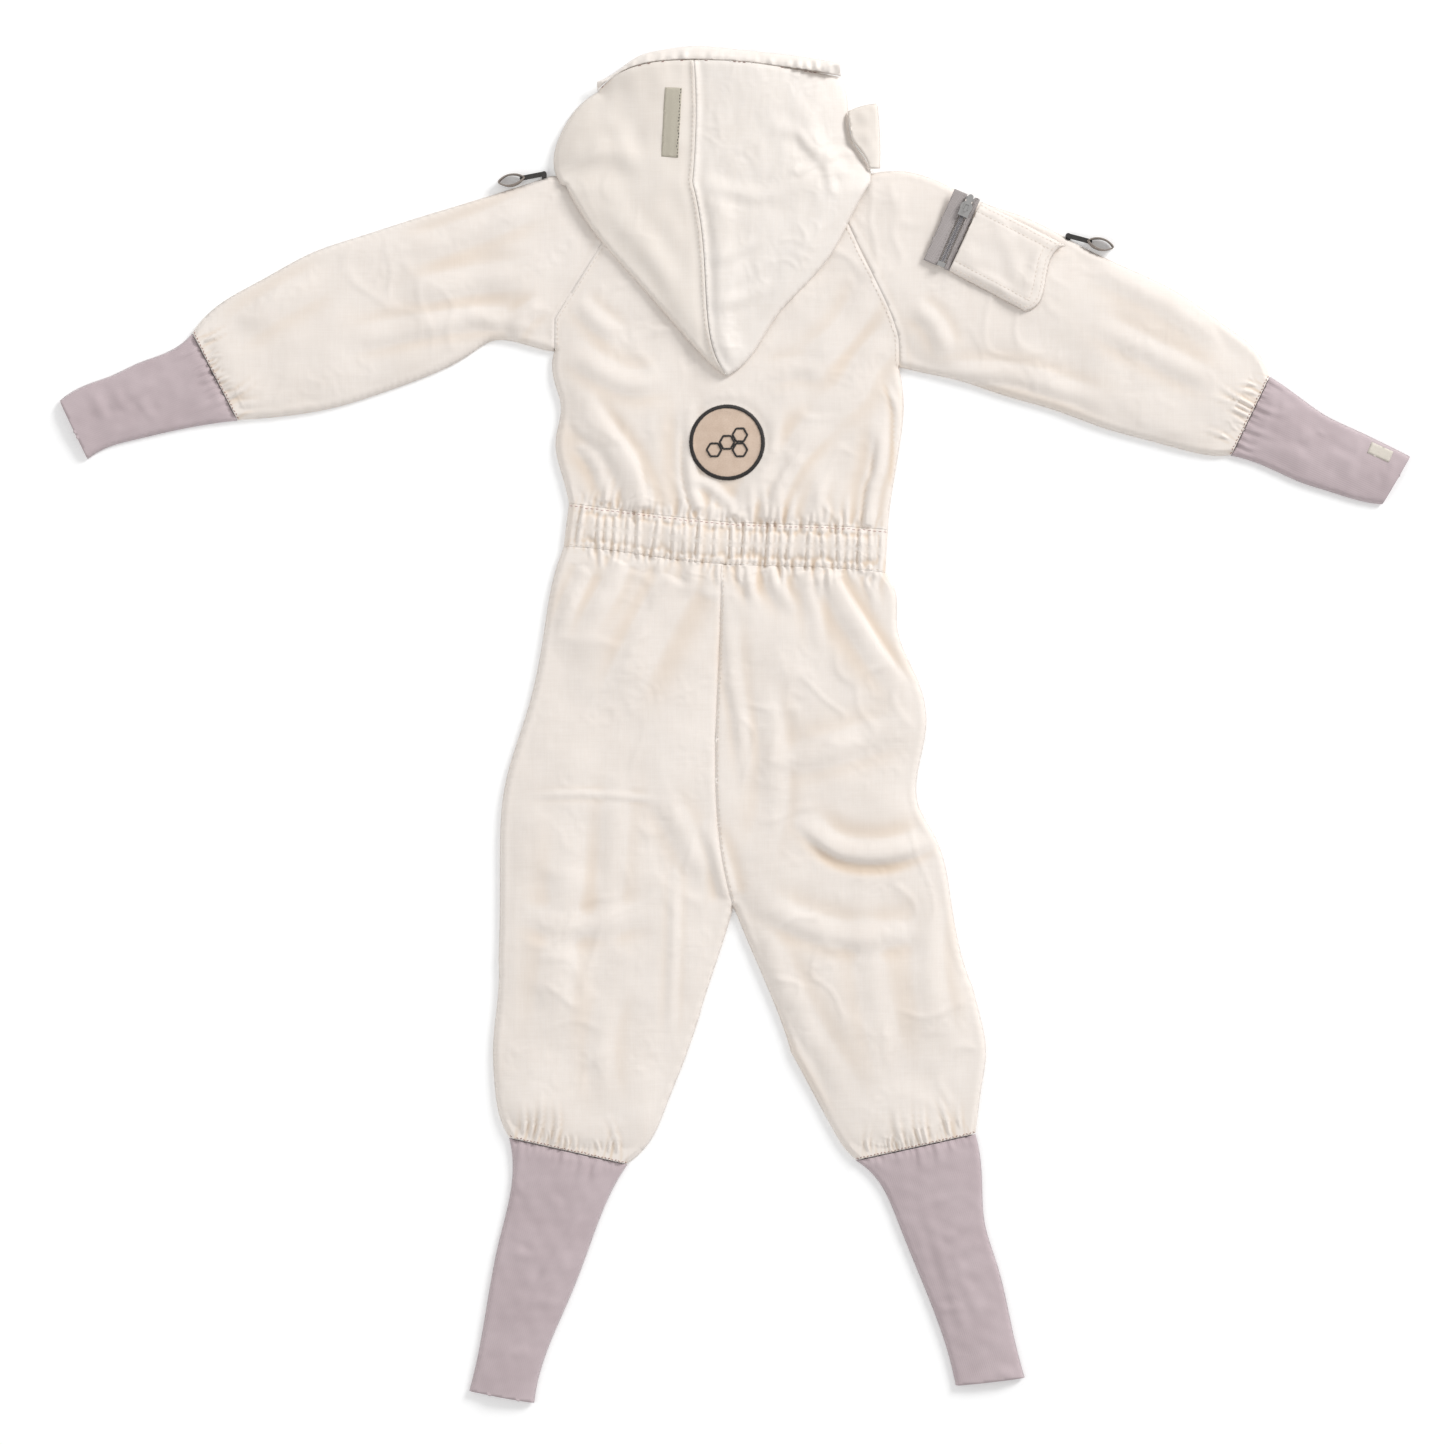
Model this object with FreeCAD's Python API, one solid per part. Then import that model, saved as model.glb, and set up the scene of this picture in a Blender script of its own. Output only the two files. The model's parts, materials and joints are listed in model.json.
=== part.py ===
import FreeCAD, Part
import math
import os
from FreeCAD import Vector

# Child's hooded coverall, lying flat on its front with the back of the suit upwards.
# +Y points to the hood, +X to the suit's right sleeve, +Z up from the surface that it lies on.
# The origin is the centre of the suit's outline, at that surface. All sizes are in millimetres.

# Driving dimensions
cloth = 1.2                # one layer of canvas with its seam allowance
loft = 8.0                 # clear height that the suit keeps inside, laid flat
seam = 3.0                 # width of a side seam or of a turned edge
gap = 0.4                  # clearance between neighbouring pieces
fold_gap = 1.0             # clearance of a folding piece from its fold line
back = cloth + loft        # underside of the back layer
top = back + cloth         # upper face of the back layer

left_fold = -138.0         # X of the line where the left sleeve folds up
right_fold = 124.0         # X of the line where the right sleeve folds up
hood_fold = 405.0          # Y of the neckline, where the hood's point lifts

hood_floor = top + 0.4     # underside of the hood's inner layer
hood_loft = 8.0            # clear height inside the hood
hood_roof = hood_floor + cloth + hood_loft
hood_top = hood_roof + cloth

zip_x = -5.0               # centre line of the front zip
zip_half_slot = 7.0        # half of the slot between the front panels
front_zip_start = 384.0    # Y of the front zip's upper end
front_zip_length = 448.0

patch_centre = (-6.0, 212.0)
patch_radius = 28.5

# Zip section, the same for both zips
coil_inner = 0.5
coil_outer = 2.9
coil_half = 1.1
tape_half = 0.3
foot_width = 2.2
slider_half_width = 4.6
slider_half_length = 6.0
slider_inner = 1.5
slider_outer = 2.3
lug_half_width = 1.0
pull_height = 3.1
bar_radius = 0.5
bar_hole = 0.8

# Ribbon loop on each sleeve: pin, metal tab and the ribbon that it holds
pin_radius = 0.9
stub_reach = 6.0
tab_length = 17.0
ribbon_length = 21.0
ribbon_half_height = 4.8
ribbon_cloth = 0.9
ribbon_low = 0.6
ribbon_width = 7.0
left_loop_pin = (-143.5, 414.5)
left_loop_turn = 191.0
right_loop_pin = (250.5, 368.0)
right_loop_turn = -15.0

# Outline points of each edge, from the top or from the inner end outwards
left_side = [(-136, 281), (-135, 255), (-131, 240), (-135, 214), (-129, 184), (-125, 166.5 + gap)]
right_side = [(123.6, 268), (126, 255), (127, 240), (124, 210), (119, 180), (115, 146.5 + gap)]
left_raglan = [(-71, 405), (-100, 362), (-136, 305)]
right_raglan = [(73, 405), (85, 377), (102, 341), (116, 312), (123.4, 290)]
waist_upper = [(-125, 166.5), (-61, 158), (-1, 152), (53, 150), (115, 146.5)]
waist_lower = [(-129, 133.5), (-92, 130.5), (-55, 125), (4.5, 119.7), (63, 118), (113, 114)]

left_hip = [(-129, 133), (-138, 105), (-143, 75), (-155, 15), (-173, -45), (-177, -105), (-178, -176)]
right_hip = [(113, 113.5), (121, 100), (122, 75), (139, 30), (144, 0), (138, -60), (151, -85),
             (163, -135), (178, -195)]
centre_seam = [(-10.6, 121), (-12.5, 37), (-14, -56), (-1, -137.5)]
left_inner = [(-1, -137.5), (-9, -165), (-19, -195), (-25.6, -216)]
right_inner = [(-1, -137.5), (10, -165), (23, -195), (41, -243)]

left_shin_outer = [(-178, -177), (-179, -210), (-182, -240), (-181, -270), (-176, -298), (-170, -310)]
left_shin_inner = [(-26, -217), (-39, -255), (-51, -285), (-65, -315), (-72, -323), (-81, -330)]
right_shin_outer = [(178.5, -196), (186, -225), (189, -247), (186, -270), (183, -292), (181, -307)]
right_shin_inner = [(41, -244), (47, -255), (63, -285), (74, -305), (80, -315), (91, -327)]

left_ankle_outer = [(-170, -311), (-168, -345), (-178, -390), (-184, -420), (-189, -450), (-200, -501)]
left_ankle_inner = [(-81, -331), (-97, -360), (-114, -405), (-126, -435), (-139, -465), (-151, -510)]
right_ankle_outer = [(181, -308), (186, -345), (188, -375), (197, -405), (211, -465), (218, -491)]
right_ankle_inner = [(91, -328), (109, -345), (123, -375), (135, -405), (158, -465), (166, -497)]

left_sleeve_upper = [(left_fold - fold_gap, 413), (-169, 403), (-206, 391.5), (-244, 380),
                     (-281, 368), (-319, 355),
                     (-356, 335), (-390, 315), (-408, 295.5)]
left_sleeve_lower = [(left_fold - fold_gap, 281), (-161, 287), (-182, 289), (-199, 279), (-225, 265),
                     (-262, 251),
                     (-300, 239), (-337, 232.5), (-374, 229.5)]
right_sleeve_upper = [(right_fold + fold_gap, 417), (146, 412), (184, 394), (221, 381), (259, 361),
                      (296, 343.5),
                      (334, 325), (371, 299), (390, 284), (402, 262.5)]
right_sleeve_lower = [(right_fold + fold_gap, 269), (146, 264), (165, 260), (202, 248), (240, 237),
                      (277, 223.5),
                      (315, 213), (341, 206), (360, 202.5), (373, 203)]
left_cuff_upper = [(-408.5, 294.5), (-431, 279), (-450, 272), (-469, 263), (-487, 256.5), (-508, 244)]
left_cuff_lower = [(-374.5, 229), (-412, 223.5), (-431, 219.5), (-450, 215), (-469, 210), (-487, 200)]
right_cuff_upper = [(402.5, 262), (427, 245), (446, 232), (465, 223), (484, 214), (508, 202)]
right_cuff_lower = [(373.5, 202.5), (409, 190), (427, 182), (446, 176), (465, 170), (487, 166)]

hood_low = hood_fold - gap
hood_high = hood_fold + gap
hood_left_edge = [(-127, hood_low), (-100, 362), (-73, 331.5), (-33, 286), (-16, 268.5), (-6, 261)]
hood_right_edge = [(100, hood_low), (85.5, 378), (74, 356), (49, 326), (30, 305), (13, 278), (-6, 261)]
hood_seam = [(-31.5, hood_low), (-26, 377.5), (-23, 347), (-21, 310), (-16.5, 282), (-6, 261)]
brim_left_edge = [(-130, hood_high), (-136.5, 425), (-130.5, 446), (-117, 466), (-103.5, 476)]
brim_right_edge = [(101, hood_high), (101, 420), (88.5, 439), (85, 466), (79.5, 487)]
hem_inner = [(-103.5, 476), (-85, 490), (-61, 496.5), (-33, 498), (-4, 497), (49, 491), (79.5, 487)]
hem_outer = [(-103.5, 483), (-86, 493), (-73, 502), (-54, 507), (-33, 509.7), (-4, 508), (49, 502),
             (78, 497)]

front_tape = 14.0           # width of each front tape from the zip's centre line
front_pull_length = 18.0
wide_tape = 13.5            # the pocket's two tapes, the one on the arm's upper side the wider
narrow_tape = 7.2
pocket_pull_length = 11.5
tape_overhang = 4.0         # tape beyond each end of the coils
stop_proud = 0.3
elbow_x = -271.5            # where the left sleeve's tube is split in two
elbow_gap = 0.05
pocket_zip_head = (177.15, 396.75)     # upper end of the pocket zip's centre line
pocket_zip_foot = (153.75, 343.5)
pocket_zip_height = 2.7                # of the chain's middle above the sleeve


def curve(points):
    """Straight edge through two points, smooth edge through more."""
    corners = [Vector(x, y, 0) for x, y in points]
    if len(corners) == 2:
        return Part.makeLine(corners[0], corners[1])
    line = Part.BSplineCurve()
    line.interpolate(corners)
    return line.toShape()


def slab(runs, low, high):
    """Flat piece between two heights. Each run is one edge, and they follow each other round the outline."""
    edges = []
    for i, run in enumerate(runs):
        edges.append(curve(run))
        following = runs[(i + 1) % len(runs)][0]
        if math.dist(run[-1], following) > 1e-6:
            edges.append(curve([run[-1], following]))
    face = Part.Face(Part.Wire(edges))
    face.translate(Vector(0, 0, low))
    return face.extrude(Vector(0, 0, high - low))


def moved(points, dx, dy):
    return [(x + dx, y + dy) for x, y in points]


def carried_on(end, before, reach):
    """The point that lies past the end of an edge by reach."""
    span = math.dist(end, before)
    return tuple(e + (e - b) * reach / span for e, b in zip(end, before))


def drawn_in(points, opposite, amount, reach):
    """The edge moved towards the opposite edge by amount, with both ends carried on by reach."""
    inner = []
    for point, other in zip(points, opposite):
        share = amount / math.dist(point, other)
        inner.append(tuple(p + (o - p) * share for p, o in zip(point, other)))
    start = carried_on(inner[0], inner[1], reach)
    finish = carried_on(inner[-1], inner[-2], reach)
    return [start] + inner + [finish]


def flat_tube(side_a, side_b, low=0.0, high=top):
    """Hollow, open-ended length of sleeve, leg or cuff between two edges with matching points."""
    body = slab([side_a, side_b[::-1]], low, high)
    reach = 6.0
    inner_a = drawn_in(side_a, side_b, seam, reach)
    inner_b = drawn_in(side_b, side_a, seam, reach)
    return body.cut(slab([inner_a, inner_b[::-1]], low + cloth, high - cloth))


def box(x0, x1, y0, y1, z0, z1):
    return Part.makeBox(x1 - x0, y1 - y0, z1 - z0, Vector(x0, y0, z0))


def save(name, *solids):
    shape = solids[0] if len(solids) == 1 else Part.makeCompound(list(solids))
    shape.exportStep("parts/" + name + ".step")


def bodice():
    left_seam = moved(left_raglan, gap, 0)
    right_seam = moved(right_raglan, -gap, 0)
    neck_back = [left_seam[0], (0, 398), right_seam[0]]
    save("bodice_back", slab([
        left_side,
        moved(waist_upper, 0, gap),
        right_side[::-1],
        right_seam[::-1],
        neck_back[::-1],
        left_seam,
    ], back, top))
    slot_left = zip_x - zip_half_slot
    slot_right = zip_x + zip_half_slot
    neck_front = 392.0
    save("bodice_front_left", slab([
        left_side,
        [(-125, 166.5 + gap), (slot_left, 153.6)],
        [(slot_left, 153.6), (slot_left, neck_front)],
        [(slot_left, neck_front), (-45, 394), left_seam[0]],
        left_seam,
    ], 0, cloth))
    save("bodice_front_right", slab([
        right_side,
        [(115, 146.5 + gap), (slot_right, 152.8)],
        [(slot_right, 152.8), (slot_right, neck_front)],
        [(slot_right, neck_front), (45, 394), right_seam[0]],
        right_seam,
    ], 0, cloth))


def shoulder_caps():
    """Top of each raglan sleeve, inside its fold line: two layers joined along the shoulder."""
    left_edge = left_fold + gap / 2
    outer = [
        [left_raglan[0], (-105, 412), (left_edge, 413)],
        [(left_edge, 413), (left_edge, 302.5)],
        [(left_edge, 302.5)] + left_raglan[-2::-1],
    ]
    hollow = [
        [(-60, 400), (-105, 412 - seam), (-150, 413 - seam)],
        [(-150, 290), (-60, 290)],
    ]
    save("left_shoulder_cap", slab(outer, 0, top).cut(slab(hollow, cloth, back)))
    right_edge = right_fold - gap / 2
    outer = [
        [right_raglan[0], (98, 414), (right_edge, 417)],
        [(right_edge, 417), (right_edge, 290.6)],
        [(right_edge, 290.6)] + right_raglan[-2::-1],
    ]
    hollow = [
        [(60, 400), (98, 414 - seam), (136, 418 - seam)],
        [(136, 270), (60, 270)],
    ]
    save("right_shoulder_cap", slab(outer, 0, top).cut(slab(hollow, cloth, back)))


def side_seams():
    """Strip that joins front and back along each side, from the underarm to the knee."""
    left_edge = left_side[:-1] + [(-126.5, 150)] + left_hip
    right_edge = right_side[:-1] + [(114.5, 150), (113.5, 130)] + right_hip
    save("left_side_seam", slab([left_edge, moved(left_edge, seam, 0)[::-1]], cloth,
                                back).cut(casing_shape()))
    save("right_side_seam", slab([right_edge, moved(right_edge, -seam, 0)[::-1]], cloth,
                                 back).cut(casing_shape()))
    save("inseam",
         slab([moved(left_inner, -gap, 0), moved(left_inner, -seam, 0)[::-1]], cloth, back),
         slab([moved(right_inner, gap, 0), moved(right_inner, seam, 0)[::-1]], cloth, back))


def casing_shape():
    return slab([waist_upper, moved(waist_lower, 0, gap)[::-1]], back - cloth, top + cloth)


def casing_core(inset, ends, low, high):
    """Flat length inside the waistband casing, inset from its long edges and from its two ends."""
    core = slab([moved(waist_upper, 0, -inset), moved(waist_lower, 0, inset)[::-1]], low, high)
    left, right = waist_upper[0][0] + ends, waist_upper[-1][0] - ends
    lowest, highest = waist_lower[-1][1], waist_upper[0][1]
    return core.common(box(left, right, lowest, highest, low, high))


def waistband():
    """Gathered casing over the back with its elastic, and the plain front band on each side of the zip."""
    save("waistband_casing", casing_shape().cut(casing_core(seam, seam, back, top)))
    save("waist_elastic", casing_core(seam + 1, seam + 2, back + 0.2, top - 0.2))
    slot_left = zip_x - zip_half_slot
    slot_right = zip_x + zip_half_slot
    save("waistband_front",
         slab([[(-125.4, 166), (slot_left, 152.8)], [(slot_left, 122), (-129, 134)]], 0, cloth),
         slab([[(slot_right, 152), (115, 146.8)], [(113.2, 114.5), (slot_right, 120.5)]], 0, cloth))


def trousers():
    waist = max(y for x, y in waist_lower) + seam
    above_left = (left_side[0][0], waist + seam)
    above_right = (right_side[0][0], waist + seam)
    above = slab([waist_lower, [above_right, above_left], [above_left,
                                                           (above_left[0], waist_lower[0][1])]], 0, hood_top)
    for side, way, hip, inner in (("left", -1, left_hip, left_inner), ("right", 1, right_hip, right_inner)):
        seam_edge = moved(centre_seam, way * gap, 0)
        inner_edge = moved(inner, way * gap, 0)
        back_panel = slab([
            hip,
            [hip[-1], inner_edge[-1]],
            inner_edge[::-1],
            seam_edge[::-1],
            [seam_edge[0], (seam_edge[0][0], waist)],
            [(seam_edge[0][0], waist), (hip[0][0], waist)],
        ], back, top)
        save("trouser_back_" + side, back_panel.cut(above))
    fly_end = front_zip_start - front_zip_length - 6
    crotch = -138.0
    save_trouser_front("left", -1, left_hip, left_inner[-1], (-10, -166), fly_end, crotch)
    save_trouser_front("right", 1, right_hip, right_inner[-1], (11, -166), fly_end, crotch)


def save_trouser_front(side, way, hip, knee_end, thigh, fly_end, crotch):
    """Front trouser panel, way -1 for the left and 1 for the right of the fly."""
    slot_edge = zip_x + way * zip_half_slot
    fly = (zip_x + way * gap, fly_end)
    fork = (-1 + way * gap, crotch)
    slot_end = (slot_edge, fly_end + 8)
    slot_head = (slot_edge, 120.5)
    save("trouser_front_" + side, slab([
        hip,
        [hip[-1], knee_end],
        [knee_end, thigh, fork],
        [fork, fly],
        [fly, slot_end],
        [slot_end, slot_head],
        [slot_head, hip[0]],
    ], 0, cloth))


def limbs():
    left_sleeve = flat_tube(left_sleeve_upper, left_sleeve_lower)
    save("left_sleeve",
         left_sleeve.common(box(elbow_x + elbow_gap / 2, 0, 0, 500, 0, top)),
         left_sleeve.common(box(-500, elbow_x - elbow_gap / 2, 0, 500, 0, top)))
    save("right_sleeve", flat_tube(right_sleeve_upper, right_sleeve_lower))
    save("left_cuff", flat_tube(left_cuff_upper, left_cuff_lower))
    save("right_cuff", flat_tube(right_cuff_upper, right_cuff_lower))
    save("left_shin", flat_tube(left_shin_outer, left_shin_inner))
    save("right_shin", flat_tube(right_shin_outer, right_shin_inner))
    save("left_ankle_cuff", flat_tube(left_ankle_outer, left_ankle_inner))
    save("right_ankle_cuff", flat_tube(right_ankle_outer, right_ankle_inner))


def hood_point():
    """The part of the hood that lies over the shoulders: two outer panels on a lining with a turned edge."""
    save("hood_left_panel", slab([hood_left_edge, moved(hood_seam, -gap / 2, 0)[::-1]], hood_roof, hood_top)
         .common(box(-200, 200, 262, hood_fold - gap, 0, 40)))
    save("hood_right_panel", slab([moved(hood_seam, gap / 2, 0), hood_right_edge[::-1]], hood_roof, hood_top)
         .common(box(-200, 200, 262, hood_fold - gap, 0, 40)))
    whole = slab([hood_left_edge, hood_right_edge[::-1]], hood_floor, hood_roof)
    hollow = slab([
        [(-124, 420), (-95.8, 362), (-29, 286), (-11.8, 272)],
        [(-4, 270), (5, 275)],
        [(10, 282), (45.5, 326), (81.5, 378), (97, 420)],
    ], hood_floor + cloth, hood_roof)
    save("hood_lining", whole.cut(hollow))


def hood_brim():
    """The part of the hood above the neckline, round the face opening."""
    seam_top = -30.8
    middle = [(-31.8, hood_high), (-30, 430), (-29.2, 465), (seam_top, 497.6)]
    left_hem = [(-103.5, 476), (-84.8, 489.4), (-61.5, 496), (seam_top - gap / 2, 497.6)]
    right_hem = [(seam_top + gap / 2, 497.6), (-3.8, 496.8), (49.5, 490.8), (79.5, 487)]
    save("hood_left_brim", slab([
        brim_left_edge, left_hem, moved(middle, -gap / 2, 0)[::-1],
    ], hood_roof, hood_top))
    save("hood_right_brim", slab([
        moved(middle, gap / 2, 0), right_hem, brim_right_edge[::-1],
    ], hood_roof, hood_top))
    save("hood_hem", slab([hem_inner, hem_outer[::-1]], hood_roof - cloth, hood_top)
         .cut(slab([moved(hem_inner, 0, -30), moved(hem_inner, 0, gap)[::-1]], 0, 40)))
    wall_foot = 414.5
    left_wall = [(-134, wall_foot), (-136.5, 425), (-130.5, 446.2), (-117, 465.8), (-103.5, 475.5)]
    right_wall = [(101, 418), (95.5, 430), (88.5, 439), (84.8, 465.8), (79.8, 486)]
    slot_left = zip_x - zip_half_slot
    slot_right = zip_x + zip_half_slot
    save("hood_left_side",
         slab([left_wall, moved(left_wall, seam, 0)[::-1]], cloth, hood_roof).fuse(
             slab([left_wall, [(-103.5, 475.5), (-60, 488), (slot_left, 490)],
                   [(slot_left, 394), (-60, 408.5), (-105, 416),
                    (-134, wall_foot)]], 0, cloth)).removeSplitter())
    right_side_shape = slab([right_wall, moved(right_wall, -seam, 0)[::-1]], cloth, hood_roof).fuse(
        slab([right_wall, [(79.8, 486), (40, 489), (slot_right, 490)],
              [(slot_right, 394), (55, 406.5), (101, 418)]], 0, cloth)).removeSplitter()
    save("hood_right_side", right_side_shape)
    flap = slab([
        [(84.8, 461), (95, 465), (107, 467)],
        [(107, 467), (109, 440), (109, 418)],
        [(109, 418), (100, 418)],
        [(100, 418), (95.5, 430), (88, 439)],
        [(88, 439), (84.8, 461)],
    ], hood_floor, hood_floor + cloth)
    inside_hood = slab([right_wall, [(79.8, 486), (60, 450), (101, 418)]], 0, hood_top)
    flap = flap.cut(inside_hood).cut(right_side_shape)
    save("chin_flap", max(flap.Solids, key=lambda solid: solid.Volume))


def badges():
    x, y = patch_centre
    centre = Vector(x, y, top)
    border = 2.8
    ground = 0.8
    raised = 1.5
    ground_radius = patch_radius - border - 0.1
    save("patch_ground", Part.makeCylinder(ground_radius, ground, centre))
    save("patch_border", Part.makeCylinder(patch_radius, raised, centre).cut(
        Part.makeCylinder(patch_radius - border, raised, centre)))
    cells = []
    cell = 6.4
    line = 1.5
    for i in range(7):
        angle = math.radians(30 + 60 * (i - 1))
        reach = 0.0 if i == 0 else cell * math.sqrt(3) + 0.1
        cx = x + reach * math.cos(angle)
        cy = y + reach * math.sin(angle)
        if i in (2, 3, 5):
            continue
        cells.append(hexagon(cx, cy, cell - 0.1).cut(hexagon(cx, cy, cell - line)))
    height = Vector(0, 0, top + ground)
    for solid in cells:
        solid.translate(height)
    save("patch_emblem", *cells)
    label = box(-6.4, 6.4, -26.2, 26.2, hood_top, hood_top + 0.6)
    label.rotate(Vector(0, 0, 0), Vector(0, 0, 1), -3)
    label.translate(Vector(-47.6, 450.8, 0))
    save("hood_label", label)
    tag = box(-9, 9, -4.6, 4.6, top, top + 0.8)
    tag.rotate(Vector(0, 0, 0), Vector(0, 0, 1), -24)
    tag.translate(Vector(485, 205, 0))
    save("cuff_label", tag)


def hexagon(x, y, reach):
    corners = []
    for i in range(6):
        angle = math.radians(60 * i)
        corners.append((x + reach * math.cos(angle), y + reach * math.sin(angle)))
    return slab([[corners[i], corners[(i + 1) % 6]] for i in range(6)], 0, 0.8)


def sleeve_pocket():
    """Bag sewn on three sides, open towards its zip, where the sleeve closes it from below."""
    edge = [(249, 359.6), (232, 327), (226.5, 314.5), (217.5, 310.2)]
    bag = [[(184.9, 392.7), (249, 359.6)], edge, [(217.5, 310.2), (160.4, 340.4)]]
    hollow = [
        [(178, 392), (244.6, 358.4)],
        [(244.6, 358.4), (228.4, 327), (223.6, 317.5), (217.5, 314)],
        [(217.5, 314), (150, 349.6)],
    ]
    roof = 15.2
    save("pocket_bag", slab(bag, top, roof + cloth).cut(slab(hollow, top, roof)))


def zip_parts(length, reach_left, reach_right, foot, pull_points_down, slider_margin, pull_length):
    """One closed zip in its own axes: travel along -Y from the origin, +Z outwards, slider at the top."""
    tapes = []
    for side, reach in ((-1, reach_left), (1, reach_right)):
        flat = box(coil_outer, reach, -length - tape_overhang, tape_overhang, -tape_half, tape_half)
        foot_low, foot_high = sorted((foot, -math.copysign(tape_half, foot)))
        edge = box(reach - foot_width, reach, -length - tape_overhang, tape_overhang, foot_low, foot_high)
        tape = flat.fuse(edge).removeSplitter()
        if side < 0:
            tape = tape.mirror(Vector(0, 0, 0), Vector(1, 0, 0))
        tapes.append(tape)
    coils = []
    for side in (-1, 1):
        low, high = sorted((side * coil_inner, side * coil_outer))
        coils.append(box(low, high, -length, 0, -coil_half, coil_half))
    stops = []
    for side in (-1, 1):
        low, high = sorted((side * coil_inner, side * (coil_outer + stop_proud)))
        stops.append(box(low, high, 0.1, 2.4, -coil_half - stop_proud, -tape_half - 0.02))
        stops.append(box(low, high, 0.1, 2.4, tape_half + 0.02, coil_half + stop_proud))
    stops.append(box(-coil_outer, coil_outer, -length - 3.6, -length - 0.1,
                     -coil_half - stop_proud, coil_half + stop_proud))
    centre = -slider_margin
    slider = slider_body(centre)
    pull = pull_tab(centre, pull_points_down, pull_length)
    return tapes, coils, stops, slider, pull


def slider_body(centre):
    reach = slider_half_length
    wide = slider_half_width
    plates = []
    for low, high in ((slider_inner, slider_outer), (-slider_outer, -slider_inner)):
        plate = Part.makeCylinder(wide, high - low, Vector(0, centre + reach - wide, low))
        plate = plate.fuse(box(-wide + 0.6, wide - 0.6, centre - reach, centre + reach - wide, low, high))
        plates.append(plate)
    flange_low = 0.7
    flanges = []
    for low, high in ((flange_low, slider_inner + 0.1), (-slider_inner - 0.1, -flange_low)):
        for side in (-1, 1):
            x0, x1 = sorted((side * 3.4, side * (wide - 0.6)))
            flanges.append(box(x0, x1, centre - reach, centre + reach - wide, low, high))
    post = box(-0.35, 0.35, centre + 1, centre + reach - 0.6, -slider_inner - 0.1, slider_inner + 0.1)
    lug = box(-lug_half_width, lug_half_width, centre - 2.2, centre + 2.2, slider_outer - 0.1,
              pull_height + 1.2)
    eye = Part.makeCylinder(bar_hole, 4, Vector(-2, centre, pull_height), Vector(1, 0, 0))
    shape = plates[0].fuse([plates[1], post, lug] + flanges)
    return shape.cut(eye).removeSplitter()


def pull_tab(centre, points_down, length):
    """Flat tab with two arms and a round bar through the slider's lug."""
    half = 0.5
    way = -1 if points_down else 1
    bar = Part.makeCylinder(bar_radius, 4.4, Vector(-2.2, centre, pull_height), Vector(1, 0, 0))
    arms = []
    for side in (-1, 1):
        x0, x1 = sorted((side * (lug_half_width + 0.3), side * 2.2))
        y0, y1 = sorted((centre - way * half, centre + way * 4.0))
        arms.append(box(x0, x1, y0, y1, pull_height - half, pull_height + half))
    y0, y1 = sorted((centre + way * 3.2, centre + way * (length - 2.2)))
    plate = box(-2.2, 2.2, y0, y1, pull_height - half, pull_height + half)
    tip = Part.makeCylinder(2.2, 2 * half, Vector(0, centre + way * (length - 2.2), pull_height - half))
    return bar.fuse(arms + [plate, tip]).removeSplitter()


def place(shape, centre, turn, face_down):
    """Moves a zip piece from its own axes to the suit. turn is the angle from +Y of its upper end."""
    if face_down:
        shape.rotate(Vector(0, 0, 0), Vector(0, 1, 0), 180)
    shape.rotate(Vector(0, 0, 0), Vector(0, 0, 1), turn)
    shape.translate(Vector(*centre))
    return shape


def front_zip():
    height = 4.5
    centre = (zip_x, front_zip_start, height)
    parts = zip_parts(front_zip_length, front_tape, front_tape, height - cloth, True, 9, front_pull_length)
    tapes, coils, stops, slider, pull = parts
    save("front_zip_tapes", *[place(s, centre, 0, True) for s in tapes])
    save("front_zip_coils", *[place(s, centre, 0, True) for s in coils])
    save("front_zip_stops", *[place(s, centre, 0, True) for s in stops])
    save("front_zip_slider", place(slider, centre, 0, True))
    save("front_zip_pull", place(pull, centre, 0, True))


def pocket_zip():
    hx, hy = pocket_zip_head
    fx, fy = pocket_zip_foot
    turn = math.degrees(math.atan2(hx - fx, -(hy - fy))) - 180
    inset = 4.0
    length = math.hypot(hx - fx, hy - fy) - 2 * inset
    ux = (hx - fx) / math.hypot(hx - fx, hy - fy)
    uy = (hy - fy) / math.hypot(hx - fx, hy - fy)
    centre = (hx - ux * inset, hy - uy * inset, top + pocket_zip_height)
    tapes, coils, stops, slider, pull = zip_parts(
        length, wide_tape, narrow_tape, -pocket_zip_height, False, 7, pocket_pull_length)
    save("pocket_zip_wide_tape", place(tapes[0], centre, turn, False))
    save("pocket_zip_narrow_tape", place(tapes[1], centre, turn, False))
    save("pocket_zip_coils", *[place(s, centre, turn, False) for s in coils])
    save("pocket_zip_stops", *[place(s, centre, turn, False) for s in stops])
    save("pocket_zip_slider", place(slider, centre, turn, False))
    save("pocket_zip_pull", place(pull, centre, turn, False))


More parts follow.
